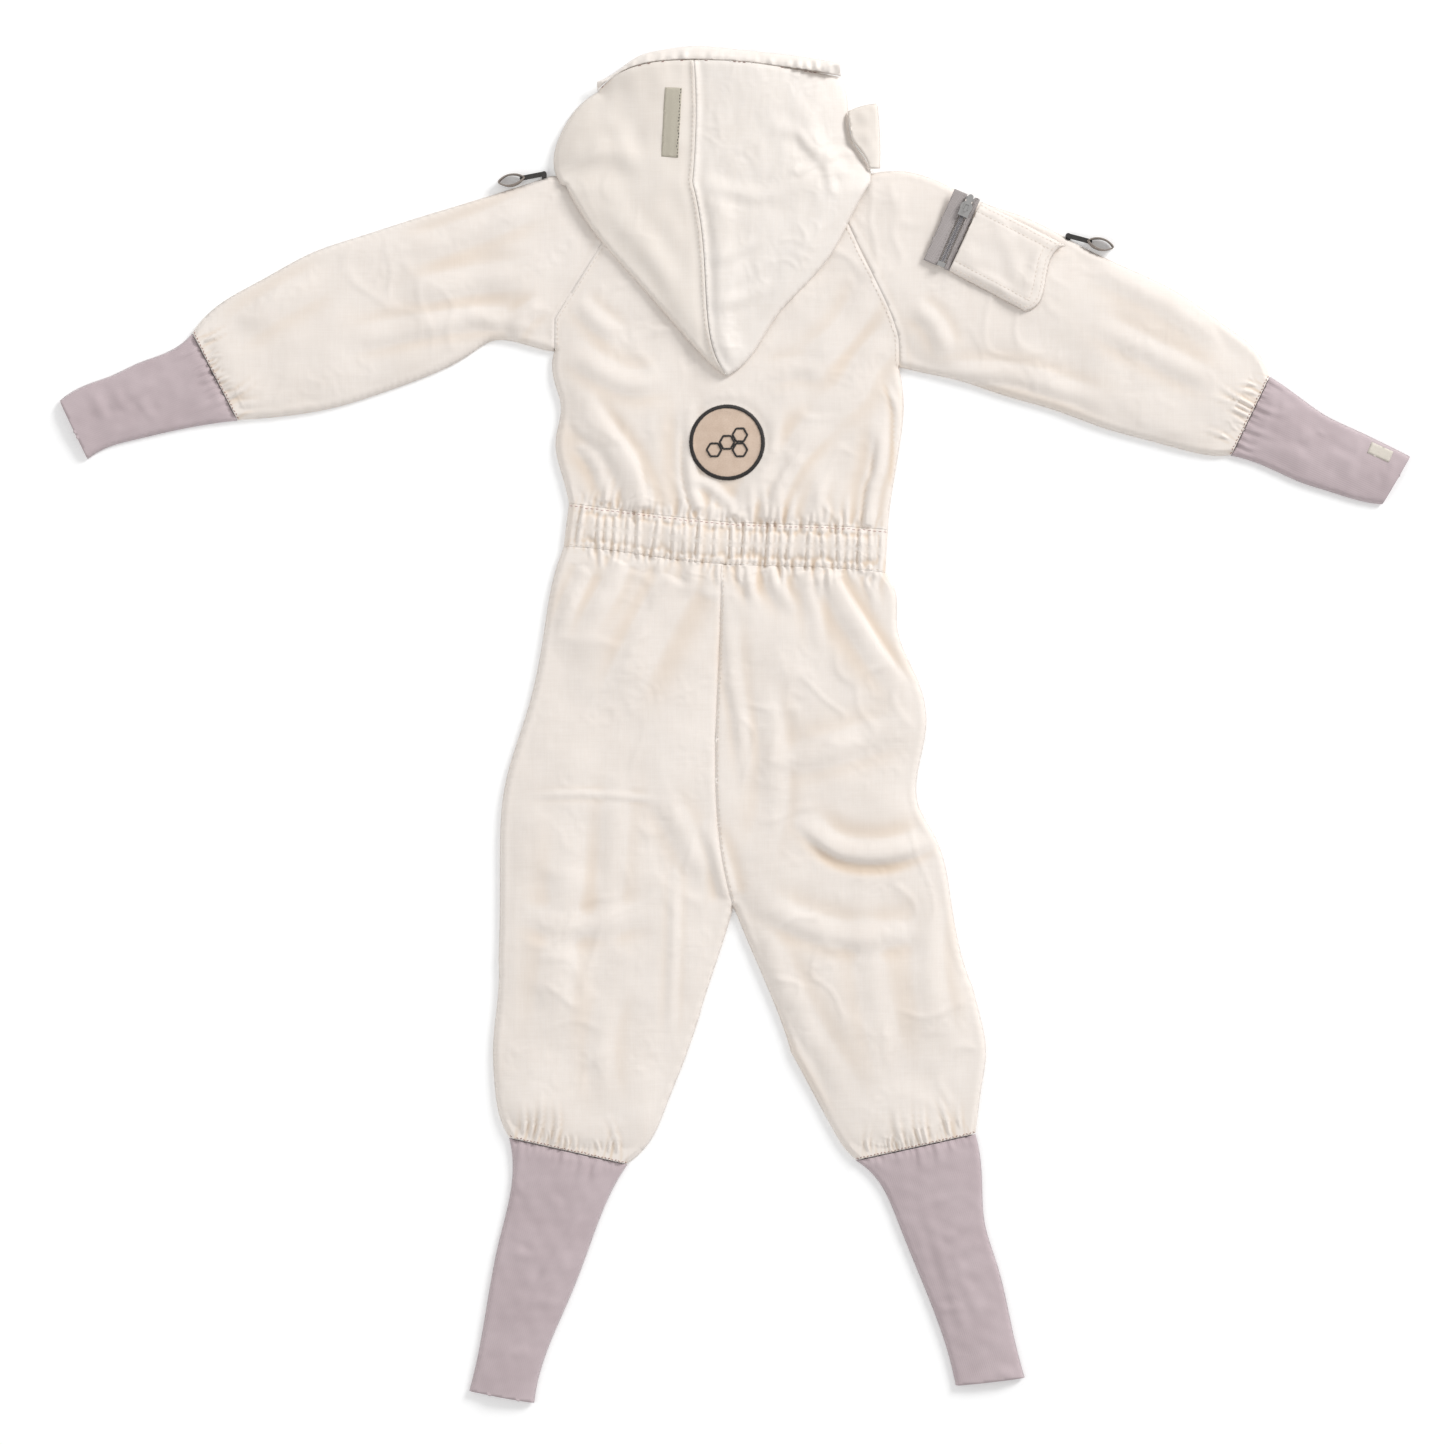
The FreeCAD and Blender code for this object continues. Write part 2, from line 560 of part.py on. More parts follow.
def ribbon_loop(side, pin, turn, sleeve_outline):
    """Metal tab on a pin that a stub of tape sews to the sleeve, with a ribbon loop held in its far end."""
    radius = 1.8
    stub_low, tab_low, tab_high, stub_high = 1.2, 2.6, 3.8, 5.2
    hub = Part.makeCylinder(radius, tab_high - tab_low, Vector(0, 0, tab_low))
    tab = box(0, tab_length, -radius, radius, tab_low, tab_high).fuse(
        [hub, Part.makeCylinder(radius, tab_high - tab_low, Vector(tab_length, 0, tab_low))])
    tab = tab.cut(Part.makeCylinder(pin_radius + 0.2, stub_high)).removeSplitter()
    start = tab_length - 2.5
    outer = loop_outline(start, ribbon_length, ribbon_half_height, 0)
    inner = loop_outline(start + 3.2, ribbon_length - 3.2, ribbon_half_height, ribbon_cloth)
    ribbon = slab([outer], ribbon_low, ribbon_low + ribbon_width).cut(slab([inner], 0, top)).cut(tab)
    for name, shape in (("tab", tab), ("ribbon", ribbon)):
        shape.rotate(Vector(0, 0, 0), Vector(0, 0, 1), turn)
        shape.translate(Vector(pin[0], pin[1], 0))
        save(side + "_loop_" + name, shape)
    x, y = pin
    stubs = []
    for low, high in ((stub_low, tab_low - 0.2), (tab_high + 0.2, stub_high)):
        stubs.append(Part.makeCylinder(radius, high - low, Vector(x, y, low)))
        stubs.append(box(x - radius, x + radius, y - stub_reach, y, low, high))
    rod = Part.makeCylinder(pin_radius, stub_high - stub_low, Vector(x, y, stub_low))
    save(side + "_loop_anchor", rod.fuse(stubs).cut(slab(sleeve_outline, 0, top)).removeSplitter())


def loop_outline(start, length, half_height, inset):
    """Closed leaf-shaped outline, blunt at the far end."""
    middle, shoulder = start + length * 0.5, start + length * 0.88
    tall, low = half_height - inset, half_height * 0.55 - inset
    return [(start, 0), (middle, tall), (shoulder, low), (start + length - inset, 0),
            (shoulder, -low), (middle, -tall), (start, 0)]


os.makedirs("parts", exist_ok=True)
bodice()
shoulder_caps()
side_seams()
waistband()
trousers()
limbs()
hood_point()
hood_brim()
badges()
sleeve_pocket()
front_zip()
pocket_zip()
ribbon_loop("left", left_loop_pin, left_loop_turn, [left_sleeve_upper, left_sleeve_lower[::-1]])
ribbon_loop("right", right_loop_pin, right_loop_turn, [right_sleeve_upper, right_sleeve_lower[::-1]])
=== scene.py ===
import json
import math

import bpy
import numpy as np
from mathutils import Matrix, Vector
from mathutils.bvhtree import BVHTree
from mathutils.geometry import delaunay_2d_cdt


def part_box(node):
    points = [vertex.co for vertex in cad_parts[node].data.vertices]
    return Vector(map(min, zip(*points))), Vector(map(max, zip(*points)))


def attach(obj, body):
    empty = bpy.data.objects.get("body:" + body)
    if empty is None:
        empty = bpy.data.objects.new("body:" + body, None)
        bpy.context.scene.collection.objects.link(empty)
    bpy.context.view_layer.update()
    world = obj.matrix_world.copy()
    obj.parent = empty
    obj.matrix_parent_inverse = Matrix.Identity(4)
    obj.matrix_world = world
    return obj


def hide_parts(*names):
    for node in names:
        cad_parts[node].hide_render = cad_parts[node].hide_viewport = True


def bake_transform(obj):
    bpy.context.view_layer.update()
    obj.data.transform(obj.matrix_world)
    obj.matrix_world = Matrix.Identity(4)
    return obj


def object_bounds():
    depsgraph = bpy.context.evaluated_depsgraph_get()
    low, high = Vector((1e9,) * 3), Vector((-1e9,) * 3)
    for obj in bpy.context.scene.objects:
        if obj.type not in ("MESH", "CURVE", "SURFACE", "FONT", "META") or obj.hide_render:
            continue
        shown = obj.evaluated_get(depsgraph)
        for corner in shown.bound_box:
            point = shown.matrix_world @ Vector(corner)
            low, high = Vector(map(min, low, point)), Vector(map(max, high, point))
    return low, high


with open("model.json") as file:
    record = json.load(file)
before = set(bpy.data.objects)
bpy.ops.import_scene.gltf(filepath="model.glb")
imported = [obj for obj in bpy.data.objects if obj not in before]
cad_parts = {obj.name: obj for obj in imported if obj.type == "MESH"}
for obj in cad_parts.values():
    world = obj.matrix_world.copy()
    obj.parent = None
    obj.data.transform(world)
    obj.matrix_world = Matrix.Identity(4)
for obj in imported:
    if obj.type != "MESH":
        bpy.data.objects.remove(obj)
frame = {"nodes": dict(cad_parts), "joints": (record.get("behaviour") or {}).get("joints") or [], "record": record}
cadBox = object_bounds()
print("frame loaded")

mm = 0.001

# How the suit lies. Every size in this script is in millimetres unless its name says otherwise.
suit = {
    "back": 9.4,           # height of the back's cloth
    "underside": 0.5,      # height of the cloth that rests on the floor
    "cloth": 0.8,          # thickness of one layer
    "edgeRadius": 3.4,     # tight roll of the cloth at a folded edge
    "edgeSlope": 17.0,     # distance over which the back rises from its edge
    "step": 2.3,           # spacing of the mesh
    "fineStep": 1.0,       # spacing of the mesh beside gathered edges
    "fineReach": 13.0,
}


# ---- outlines, read from the CAD nodes

def outlinesOf(nodeName):
    # the outlines of a node's upper faces, counter-clockwise, in millimetres, the longest last
    mesh = frame["nodes"][nodeName].data
    points = [tuple(round(c / mm, 3) for c in v.co) for v in mesh.vertices]
    level = max(p[2] for p in points)
    following = {}
    for face in mesh.polygons:
        corners = [points[i] for i in face.vertices]
        if face.normal.z < 0.9 or any(abs(c[2] - level) > 0.02 for c in corners):
            continue
        flat = [c[:2] for c in corners]
        for a, b in zip(flat, flat[1:] + flat[:1]):
            if a in following.get(b, ()):
                following[b].remove(a)
            else:
                following.setdefault(a, []).append(b)
    loops = []
    for start in [a for a, ends in following.items() if ends]:
        loop, here = [], start
        while following.get(here):
            loop.append(here)
            here = following[here].pop()
        if len(loop) > 2:
            loops.append(loop)
    return [np.array(loop) for loop in sorted(loops, key=runLength)]


def outlineOf(nodeName):
    return outlinesOf(nodeName)[-1]


def runLength(run):
    return float(np.linalg.norm(np.diff(np.asarray(run), axis=0), axis=1).sum())


def sideOf(outline, startAt, endAt):
    # the shorter way along a node's outline between two corners, each given by its share of the outline's box
    loop = outlineOf(outline) if isinstance(outline, str) else outline
    lowest, highest = loop.min(0), loop.max(0)
    before, after = loop - np.roll(loop, 1, 0), np.roll(loop, -1, 0) - loop
    turn = np.abs(np.arctan2(before[:, 0] * after[:, 1] - before[:, 1] * after[:, 0], (before * after).sum(1)))
    sharp = np.flatnonzero(turn > math.radians(22))
    first, last = [int(sharp[np.argmin(np.linalg.norm(loop[sharp] - lowest - (highest - lowest) * np.array(share),
                                                      axis=1))]) for share in (startAt, endAt)]
    count = len(loop)
    forward = loop[[(first + i) % count for i in range((last - first) % count + 1)]]
    backward = loop[[(first - i) % count for i in range((first - last) % count + 1)]]
    return forward if runLength(forward) < runLength(backward) else backward


def joined(*runs):
    points = []
    for run in runs:
        for p in run:
            if not points or np.linalg.norm(np.array(p) - points[-1]) > 0.5:
                points.append(np.array(p, float))
    return np.array(points)


def evenly(run, shares):
    run = np.asarray(run, float)
    steps = np.concatenate([[0], np.cumsum(np.linalg.norm(np.diff(run, axis=0), axis=1))])
    at = np.asarray(shares) * steps[-1]
    return np.stack([np.interp(at, steps, run[:, k]) for k in range(run.shape[1])], 1)


def curved(path, count=24):
    # a smooth run through a few points
    path = np.array(path, float)
    if len(path) == 2:
        return evenly(path, np.linspace(0, 1, count))
    padded = np.concatenate([[2 * path[0] - path[1]], path, [2 * path[-1] - path[-2]]])
    result = []
    for i in range(1, len(padded) - 2):
        a, b, c, d = padded[i - 1:i + 3]
        for t in np.linspace(0, 1, 12, endpoint=False):
            result.append(0.5 * (2 * b + (c - a) * t + (2 * a - 5 * b + 4 * c - d) * t ** 2
                                 + (3 * b - a - 3 * c + d) * t ** 3))
    result.append(path[-1])
    return evenly(np.array(result), np.linspace(0, 1, count))


def smooth(x):
    x = np.clip(x, 0, 1)
    return x * x * (3 - 2 * x)


def nearest(points, run):
    # for each point: distance to the run, the same with a sign for its side, and how far along the run it is
    a, b = run[:-1], run[1:]
    along = b - a
    squared = np.maximum((along ** 2).sum(1), 1e-9)
    steps = np.concatenate([[0], np.cumsum(np.sqrt(squared))])
    distance, signed, share = np.empty(len(points)), np.empty(len(points)), np.empty(len(points))
    for low in range(0, len(points), 8000):
        part = slice(low, low + 8000)
        p = points[part]
        t = np.clip(((p[:, None] - a) * along).sum(2) / squared, 0, 1)
        gap = p[:, None] - (a + t[..., None] * along)
        d = np.hypot(gap[..., 0], gap[..., 1])
        i = d.argmin(1)
        rows = np.arange(len(p))
        distance[part] = d[rows, i]
        cross = along[i, 0] * gap[rows, i, 1] - along[i, 1] * gap[rows, i, 0]
        signed[part] = np.where(cross < 0, -1, 1) * d[rows, i]
        share[part] = (steps[i] + t[rows, i] * np.sqrt(squared[i])) / steps[-1]
    return distance, signed, share


def inside(points, loop):
    result = np.zeros(len(points), bool)
    for (x0, y0), (x1, y1) in zip(loop, np.roll(loop, -1, 0)):
        if y0 == y1:
            continue
        crosses = (points[:, 1] < y0) != (points[:, 1] < y1)
        at = x0 + (points[:, 1] - y0) / (y1 - y0) * (x1 - x0)
        result ^= crosses & (points[:, 0] < at)
    return result


def spaced(run, fineRuns, step, fineStep, reach):
    # points along a run, closer together beside the fine runs, the same whichever way the run goes
    turned = tuple(run[0]) > tuple(run[-1])
    way = run[::-1] if turned else run
    count = max(2, int(runLength(way) / fineStep))
    dense = evenly(way, np.linspace(0, 1, count + 1))
    near = np.zeros(len(dense), bool)
    for fine in fineRuns:
        near |= nearest(dense, fine)[0] < reach
    kept, gone = [dense[0]], 0
    for i in range(1, len(dense) - 1):
        gone += 1
        if near[i] or gone * fineStep >= step:
            kept.append(dense[i])
            gone = 0
    kept.append(dense[-1])
    return np.array(kept[::-1] if turned else kept)


def hexPoints(low, high, step):
    rows = np.arange(low[1], high[1], step * math.sqrt(3) / 2)
    columns = np.arange(low[0], high[0], step)
    x = columns[None] + (np.arange(len(rows)) % 2)[:, None] * step / 2
    return np.stack([x.ravel(), np.repeat(rows, len(columns))], 1)


def filled(runs, fineRuns=(), step=None, fineStep=None, reach=None, cuts=(), borderFine=()):
    # a triangle mesh inside closed runs: points, triangles, and for each point the number of the run it lies on, or -1
    step = step or suit["step"]
    fineStep = fineStep or suit["fineStep"]
    reach = reach or suit["fineReach"]
    border = joined(*[spaced(np.asarray(run, float), borderFine or fineRuns, step, fineStep, reach) for run in runs])
    if np.linalg.norm(border[0] - border[-1]) < 0.5:
        border = border[:-1]
    low, high = border.min(0), border.max(0)
    inner = hexPoints(low, high, step)
    inner = inner[inside(inner, border)]
    fences = [(inner, step)]
    if len(fineRuns):
        far = np.ones(len(inner), bool)
        for fine in fineRuns:
            far &= nearest(inner, fine)[0] > reach
        extra = []
        for fine in fineRuns:
            dots = hexPoints(fine.min(0) - reach, fine.max(0) + reach, fineStep)
            dots = dots[nearest(dots, fine)[0] <= reach]
            for other in extra:
                dots = dots[nearest(dots, other)[0] > reach]
            extra.append(fine)
            fences.append((dots[inside(dots, border)], fineStep))
        fences[0] = (inner[far], step)
    loop = np.concatenate([border, border[:1]])
    lines = [spaced(np.array(cut, float), fineRuns, step, fineStep, reach) for cut in cuts]
    dots = []
    for cloud, size in fences:
        if len(cloud):
            free = nearest(cloud, loop)[0] > size * 0.55
            for line in lines:
                free &= nearest(cloud, line)[0] > size * 0.5
            dots.append(cloud[free])
    everything = np.concatenate([border] + lines + dots)
    edges = [(i, (i + 1) % len(border)) for i in range(len(border))]
    first = len(border)
    for line in lines:
        edges += [(first + i, first + i + 1) for i in range(len(line) - 1)]
        first += len(line)
    points, _, faces, *_ = delaunay_2d_cdt([Vector(p) for p in everything], edges, [], 1, 1e-4, False)
    points = np.array([tuple(p) for p in points])
    faces = np.array([f if cross2(points, f) > 0 else f[::-1] for f in faces])
    faces = faces[inside(points[faces].mean(1), border)]
    onRun = np.full(len(points), -1)
    edge = nearest(points, loop)[0] < 0.02
    best = np.full(len(points), 0.3)
    for number, run in enumerate(runs):
        distance = nearest(points, np.asarray(run))[0]
        closer = edge & (distance < best - 1e-6)
        onRun[closer] = number
        best[closer] = distance[closer]
    return points, faces, onRun


def cross2(points, face):
    a, b, c = points[list(face)]
    return (b[0] - a[0]) * (c[1] - a[1]) - (b[1] - a[1]) * (c[0] - a[0])


# ---- materials

class Value:
    # a number or colour in a material; sums with it add Math nodes

    def __init__(self, shade, socket):
        self.shade = shade
        self.socket = socket

    def math(self, operation, *others):
        return self.shade.add("ShaderNodeMath", {"operation": operation}, dict(enumerate((self,) + others)))

    def __add__(self, other):
        return self.math("ADD", other)

    def __sub__(self, other):
        return self.math("SUBTRACT", other)

    def __mul__(self, other):
        return self.math("MULTIPLY", other)

    def __rsub__(self, other):
        return self.shade.add("ShaderNodeMath", {"operation": "SUBTRACT"}, {0: other, 1: self})

    __radd__ = __add__
    __rmul__ = __mul__

    def wave(self, length):
        # a sine between 0 and 1 that repeats after a length
        return (self * (2 * math.pi / length)).math("SINE") * 0.5 + 0.5

    def between(self, low, high):
        return self.shade.add("ShaderNodeMapRange", {}, {0: self, 1: low, 2: high, 3: 0.0, 4: 1.0})


def paint(red, green, blue):
    # a colour given from 0 to 255, as a shader takes it
    return tuple((c / 255 / 12.92 if c < 10.3 else ((c / 255 + 0.055) / 1.055) ** 2.4) for c in (red, green,
                                                                                                 blue)) + (1,)


class Shade:
    # one material, with the nodes that a look needs

    def __init__(self, name, roughness=0.8, metallic=0.0, sheen=0.0, sheenRoughness=0.4, specular=0.5):
        self.material = bpy.data.materials.new(name)
        self.material.use_nodes = True
        self.tree = self.material.node_tree
        self.surface = self.tree.nodes["Principled BSDF"]
        self.set("Roughness", roughness)
        self.set("Metallic", metallic)
        self.set("Sheen Weight", sheen)
        self.set("Sheen Roughness", sheenRoughness)
        self.set("Specular IOR Level", specular)

    def set(self, socket, value):
        if isinstance(value, Value):
            self.tree.links.new(value.socket, self.surface.inputs[socket])
        else:
            self.surface.inputs[socket].default_value = value

    def add(self, kind, settings=None, inputs=None, output=0):
        node = self.tree.nodes.new(kind)
        for key, setting in (settings or {}).items():
            setattr(node, key, setting)
        for key, value in (inputs or {}).items():
            if isinstance(value, Value):
                self.tree.links.new(value.socket, node.inputs[key])
            else:
                node.inputs[key].default_value = value
        return Value(self, node.outputs[output])

    def place(self):
        # the place on the object in millimetres
        where = self.add("ShaderNodeTexCoord", output="Object")
        return self.add("ShaderNodeVectorMath", {"operation": "SCALE"}, {0: where, "Scale": 1000.0})

    def axes(self, place):
        return [self.add("ShaderNodeSeparateXYZ", None, {0: place}, k) for k in range(3)]

    def stretched(self, place, scale):
        return self.add("ShaderNodeVectorMath", {"operation": "MULTIPLY"}, {0: place, 1: scale})

    def noise(self, place, size, detail=2.0, roughness=0.5):
        return self.add("ShaderNodeTexNoise", None, {"Vector": place, "Scale": 1.0 / size, "Detail": detail,
                                                     "Roughness": roughness})

    def attribute(self, name):
        return self.add("ShaderNodeAttribute", {"attribute_name": name}, None, "Fac")

    def mix(self, share, first, second):
        return self.add("ShaderNodeMix", {"data_type": "RGBA"}, {0: share, 6: first, 7: second}, 2)

    def bump(self, height, depth, strength=1.0):
        self.set("Normal", self.add("ShaderNodeBump", None, {"Strength": strength, "Distance": depth * mm,
                                                             "Height": height}))


def canvasLook(name, light, dark, pitch=0.9, weave=0.045, slub=0.06, sheen=0.12, roughness=0.78, crumple=0.0,
               specular=0.35, paintedShadeTan=None):
    # plain-woven cotton: fine crossing threads, thicker and thinner ones among them, and faint mottling
    shade = Shade(name, roughness, sheen=sheen, specular=specular)
    place = shade.place()
    x, y, _ = shade.axes(place)
    threads = x.wave(pitch) * y.wave(pitch)
    uneven = (shade.noise(shade.stretched(place, (1.4, 0.06, 0.2)), 1.0, 1.0)
              + shade.noise(shade.stretched(place, (0.06, 1.4, 0.2)), 1.0, 1.0)) * 0.5
    cloudy = shade.noise(place, 38.0, 3.0, 0.6)
    share = ((uneven - 0.5) * 1.2 + (cloudy - 0.5) * 1.1 + 0.42).between(0.0, 1.0)
    colour = shade.mix(share, light, dark)
    # painted shade: a warm tan mixed into the colour where the cloth lies between folds
    if paintedShadeTan:
        colour = shade.mix(shade.attribute("painted_shade") * 0.75, colour, paintedShadeTan)
    shade.set("Base Color", colour)
    height = threads * weave + uneven * slub
    if crumple:
        place2 = shade.noise(place, 7.0, 3.0, 0.55)
        height = height + place2 * crumple
    shade.bump(height, 1.0, 1.0)
    return shade.material


def knitLook(name, light, dark, rib=1.5):
    # fine rib knit: soft ridges along the cuff with rows of small loops
    shade = Shade(name, 0.85, sheen=0.25, specular=0.25)
    across, along = shade.attribute("across"), shade.attribute("along")
    place = shade.place()
    ribs = across.wave(rib)
    loops = along.wave(0.95) * across.wave(rib / 2)
    cloudy = shade.noise(place, 30.0, 3.0, 0.6)
    share = (0.5 - ribs * 0.12 + (cloudy - 0.5) * 1.1).between(0.0, 1.0)
    shade.set("Base Color", shade.mix(share, light, dark))
    shade.bump(ribs * 0.045 + loops * 0.04 + cloudy * 0.3, 1.0, 1.0)
    return shade.material


def tapeLook(name, light, dark, pitch=1.5):
    # woven tape: a herringbone of slanting threads with firmer edges
    shade = Shade(name, 0.7, sheen=0.15, specular=0.35)
    across, along = shade.attribute("across"), shade.attribute("along")
    zigzag = (across * (1 / 3.0)).math("PINGPONG", 1.0) * 3.0
    threads = (along + zigzag).wave(pitch)
    fine = shade.noise(shade.place(), 1.3, 2.0)
    shade.set("Base Color", shade.mix((threads * 0.6 + fine * 0.5 - 0.05).between(0.0, 1.0), dark, light))
    shade.bump(threads * 0.14 + fine * 0.08, 1.0, 1.0)
    return shade.material


def threadLook(name, light, dark, roughness=0.5):
    shade = Shade(name, roughness, sheen=0.2, specular=0.4)
    fine = shade.noise(shade.place(), 0.8, 2.0)
    shade.set("Base Color", shade.mix(fine.between(0.3, 0.7), light, dark))
    shade.bump(fine * 0.08, 1.0, 1.0)
    return shade.material


def metalLook(name, light, dark, roughness=0.32):
    # brushed die-cast metal, a little worn and smudged
    shade = Shade(name, roughness, metallic=1.0)
    place = shade.place()
    brushed = shade.noise(shade.stretched(place, (6.0, 0.6, 2.0)), 1.0, 2.0)
    smudge = shade.noise(place, 4.0, 3.0, 0.6)
    shade.set("Base Color", shade.mix((smudge * 0.7 + brushed * 0.3).between(0.3, 0.7), light, dark))
    shade.set("Roughness", smudge * 0.25 + roughness * 0.7)
    shade.bump(brushed * 0.012 + smudge * 0.01, 1.0, 1.0)
    return shade.material


def feltLook(name, light, dark):
    shade = Shade(name, 0.95, sheen=0.3, specular=0.2)
    place = shade.place()
    fibres = shade.noise(place, 0.9, 3.0, 0.65)
    cloudy = shade.noise(place, 9.0, 2.0)
    shade.set("Base Color", shade.mix((fibres * 0.6 + cloudy * 0.4).between(0.35, 0.65), light, dark))
    shade.bump(fibres * 0.16, 1.0, 1.0)
    return shade.material


# the canvas's warm tan is painted shade, laid into the hollows between folds
canvas = canvasLook("cream canvas", paint(244, 236, 229), paint(236, 226, 217), paintedShadeTan=paint(226, 204, 180))
hoodSmooth = canvasLook("hood canvas", paint(241, 233, 225), paint(233, 223, 213), weave=0.04)
hoodSatin = canvasLook("crinkled hood canvas", paint(245, 238, 232), paint(237, 228, 219), sheen=0.2, roughness=0.6,
                       crumple=0.12, specular=0.5)
lining = canvasLook("cotton lining", paint(246, 241, 234), paint(238, 231, 222), pitch=0.6, weave=0.03)
rib = knitLook("mauve rib knit", paint(203, 188, 191), paint(183, 167, 170))
webbing = tapeLook("grey webbing", paint(186, 179, 177), paint(160, 152, 151))
coilLook = threadLook("nylon coil", paint(150, 148, 152), paint(118, 116, 121), 0.4)
ribbonLook = tapeLook("taupe grosgrain", paint(168, 157, 149), paint(138, 127, 119), 1.0)
seamThread = threadLook("brown mauve thread", paint(176, 142, 134), paint(146, 112, 108))
pinkThread = threadLook("pink mauve thread", paint(205, 176, 172), paint(184, 152, 150))
creamThread = threadLook("cream thread", paint(240, 230, 220), paint(222, 208, 194))
darkThread = threadLook("black thread", paint(58, 54, 52), paint(36, 33, 32))
patchFelt = feltLook("patch felt", paint(222, 200, 182), paint(206, 183, 164))
labelWeave = tapeLook("woven label", paint(208, 201, 185), paint(192, 185, 168), 0.7)
creamLabel = tapeLook("cuff label", paint(236, 229, 217), paint(222, 214, 202), 0.7)
elasticLook = tapeLook("white elastic", paint(238, 236, 232), paint(216, 213, 208), 1.2)
steel = metalLook("nickel plating", (0.62, 0.61, 0.60, 1), (0.5, 0.49, 0.48, 1))
gunmetal = metalLook("gunmetal", (0.12, 0.115, 0.11, 1), (0.07, 0.068, 0.066, 1), 0.4)
floorLook = Shade("floor paper", 0.9)
floorLook.set("Base Color", (0.97, 0.97, 0.97, 1))
floorLook.set("Emission Color", (1, 1, 1, 1))
floorLook.set("Emission Strength", 0.12)
print("materials made")


def finish(piece, material):
    piece.data.materials.clear()
    piece.data.materials.append(material)
    return piece


# ---- heights of the cloth

def crease(path, rise, width=(4, 4), fade=(0.3, 0.3), beside=0.3):
    # where it runs, how high, how wide on each side, how it fades at its ends, and the dip beside it
    return {"path": path, "rise": rise, "width": width, "fade": fade, "beside": beside}


def foldHeights(points, folds):
    # each fold is a path with a rise, a width to its left and right, and how long it takes to rise at each end
    total = np.zeros(len(points))
    limit = 4.2
    for fold in folds:
        run = curved(fold["path"])
        widths = fold["width"]
        reach = max(widths) * 3.4
        low, high = run.min(0) - reach, run.max(0) + reach
        near = np.flatnonzero(((points > low) & (points < high)).all(1))
        if not len(near):
            continue
        distance, signed, share = nearest(points[near], run)
        width = np.where(signed > 0, widths[0], widths[1])
        fadeIn, fadeOut = fold["fade"]
        taper = np.ones(len(near))
        if fadeIn:
            taper *= smooth(share / fadeIn)
        if fadeOut:
            taper *= smooth((1 - share) / fadeOut)
        ridge = np.exp(-(distance / width) ** 2)
        beside = np.exp(-((np.abs(signed) - 1.75 * width) / (0.9 * width)) ** 2)
        total[near] += fold["rise"] * taper * (ridge - fold["beside"] * beside)
    return np.where(total > 0, limit * np.tanh(total / limit), 0.45 * limit * np.tanh(total / (0.45 * limit)))


def crinkle(points, size, seed, count=16):
    # a smooth random field of about unit height with features of that size
    rng = np.random.default_rng(seed)
    angle = rng.uniform(0, 2 * math.pi, count)
    rate = 2 * math.pi / (size * rng.uniform(0.65, 1.7, count))
    phase = rng.uniform(0, 2 * math.pi, count)
    waves = np.sin(points[:, :1] * (rate * np.cos(angle)) + points[:, 1:2] * (rate * np.sin(angle)) + phase)
    return waves.sum(1) / math.sqrt(count)


def creased(points, size, seed, sharpness=0.3):
    # thin soft ridges, as left in cotton that has been folded and shaken out
    bent = points + np.stack([crinkle(points, size * 1.3, seed + 7), crinkle(points, size * 1.3, seed + 8)],
                             1) * size * 0.2
    field = crinkle(bent, size, seed, 9)
    where = smooth(crinkle(points, size * 2.6, seed + 1) + 0.2)
    return np.exp(-(field / sharpness) ** 2) * where


def pleats(edge, centre, count, depth, rise, seed, leaning=0.0):
    # pleats that start at a gathered edge and run into the cloth, some of them long
    rng = np.random.default_rng(seed)
    folds = []
    spacing = runLength(edge) / count
    for i in range(count):
        share = 0.02 + 0.96 * (i + rng.uniform(0.25, 0.75)) / count
        start = evenly(edge, [share])[0]
        ahead = evenly(edge, [min(1, share + 0.02)])[0] - evenly(edge, [max(0, share - 0.02)])[0]
        ahead /= np.linalg.norm(ahead)
        inward = np.array([-ahead[1], ahead[0]])
        if np.dot(inward, np.array(centre) - start) < 0:
            inward = -inward
        longOne = rng.random() < 0.3
        reach = depth * (rng.uniform(0.7, 1.3) if longOne else rng.uniform(0.22, 0.5))
        end = start + inward * reach + ahead * reach * (leaning + rng.uniform(-0.28, 0.28))
        width = spacing * (rng.uniform(0.34, 0.5) if longOne else rng.uniform(0.24, 0.36))
        folds.append(crease([start - inward * 3, start + inward * reach * 0.4 + ahead * rng.uniform(-1, 1), end],
                            rise * (rng.uniform(0.9, 1.3) if longOne else rng.uniform(0.45,
                                                                                      1.0)), (width * rng.uniform(0.8, 1.5), width), (0, 0.85), 0.5))
    return folds


def rolled(distance, low, high, slope=None):
    # height of cloth that leaves a folded edge at the height low and levels out at the height high
    radius = suit["edgeRadius"]
    t = np.clip(distance / radius, 0, 1)
    tight = np.sqrt(np.maximum(0, 1 - (1 - t) ** 2))
    first = np.minimum(2.6, (high - low) * 0.45)
    rest = high - low - first
    return low + first * tight + rest * (1 - np.exp(-distance / (slope or suit["edgeSlope"])))


# ---- pieces

surfaces = {}    # piece name: what a stitch line is laid on


def newMesh(name, points, faces, smoothShading=True):
    mesh = bpy.data.meshes.new(name)
    mesh.from_pydata((np.asarray(points, float) * mm).tolist(), [], [list(map(int, f)) for f in faces])
    mesh.validate()
    mesh.update()
    mesh.polygons.foreach_set("use_smooth", [smoothShading] * len(mesh.polygons))
    piece = bpy.data.objects.new(name, mesh)
    bpy.context.scene.collection.objects.link(piece)
    return piece


def addAttribute(piece, name, values):
    attribute = piece.data.attributes.new(name, "FLOAT", "POINT")
    attribute.data.foreach_set("value", np.asarray(values, np.float32))


def applied(piece):
    # the piece with its modifiers made permanent
    depsgraph = bpy.context.evaluated_depsgraph_get()
    mesh = bpy.data.meshes.new_from_object(piece.evaluated_get(depsgraph))
    piece.modifiers.clear()
    piece.data = mesh
    return piece


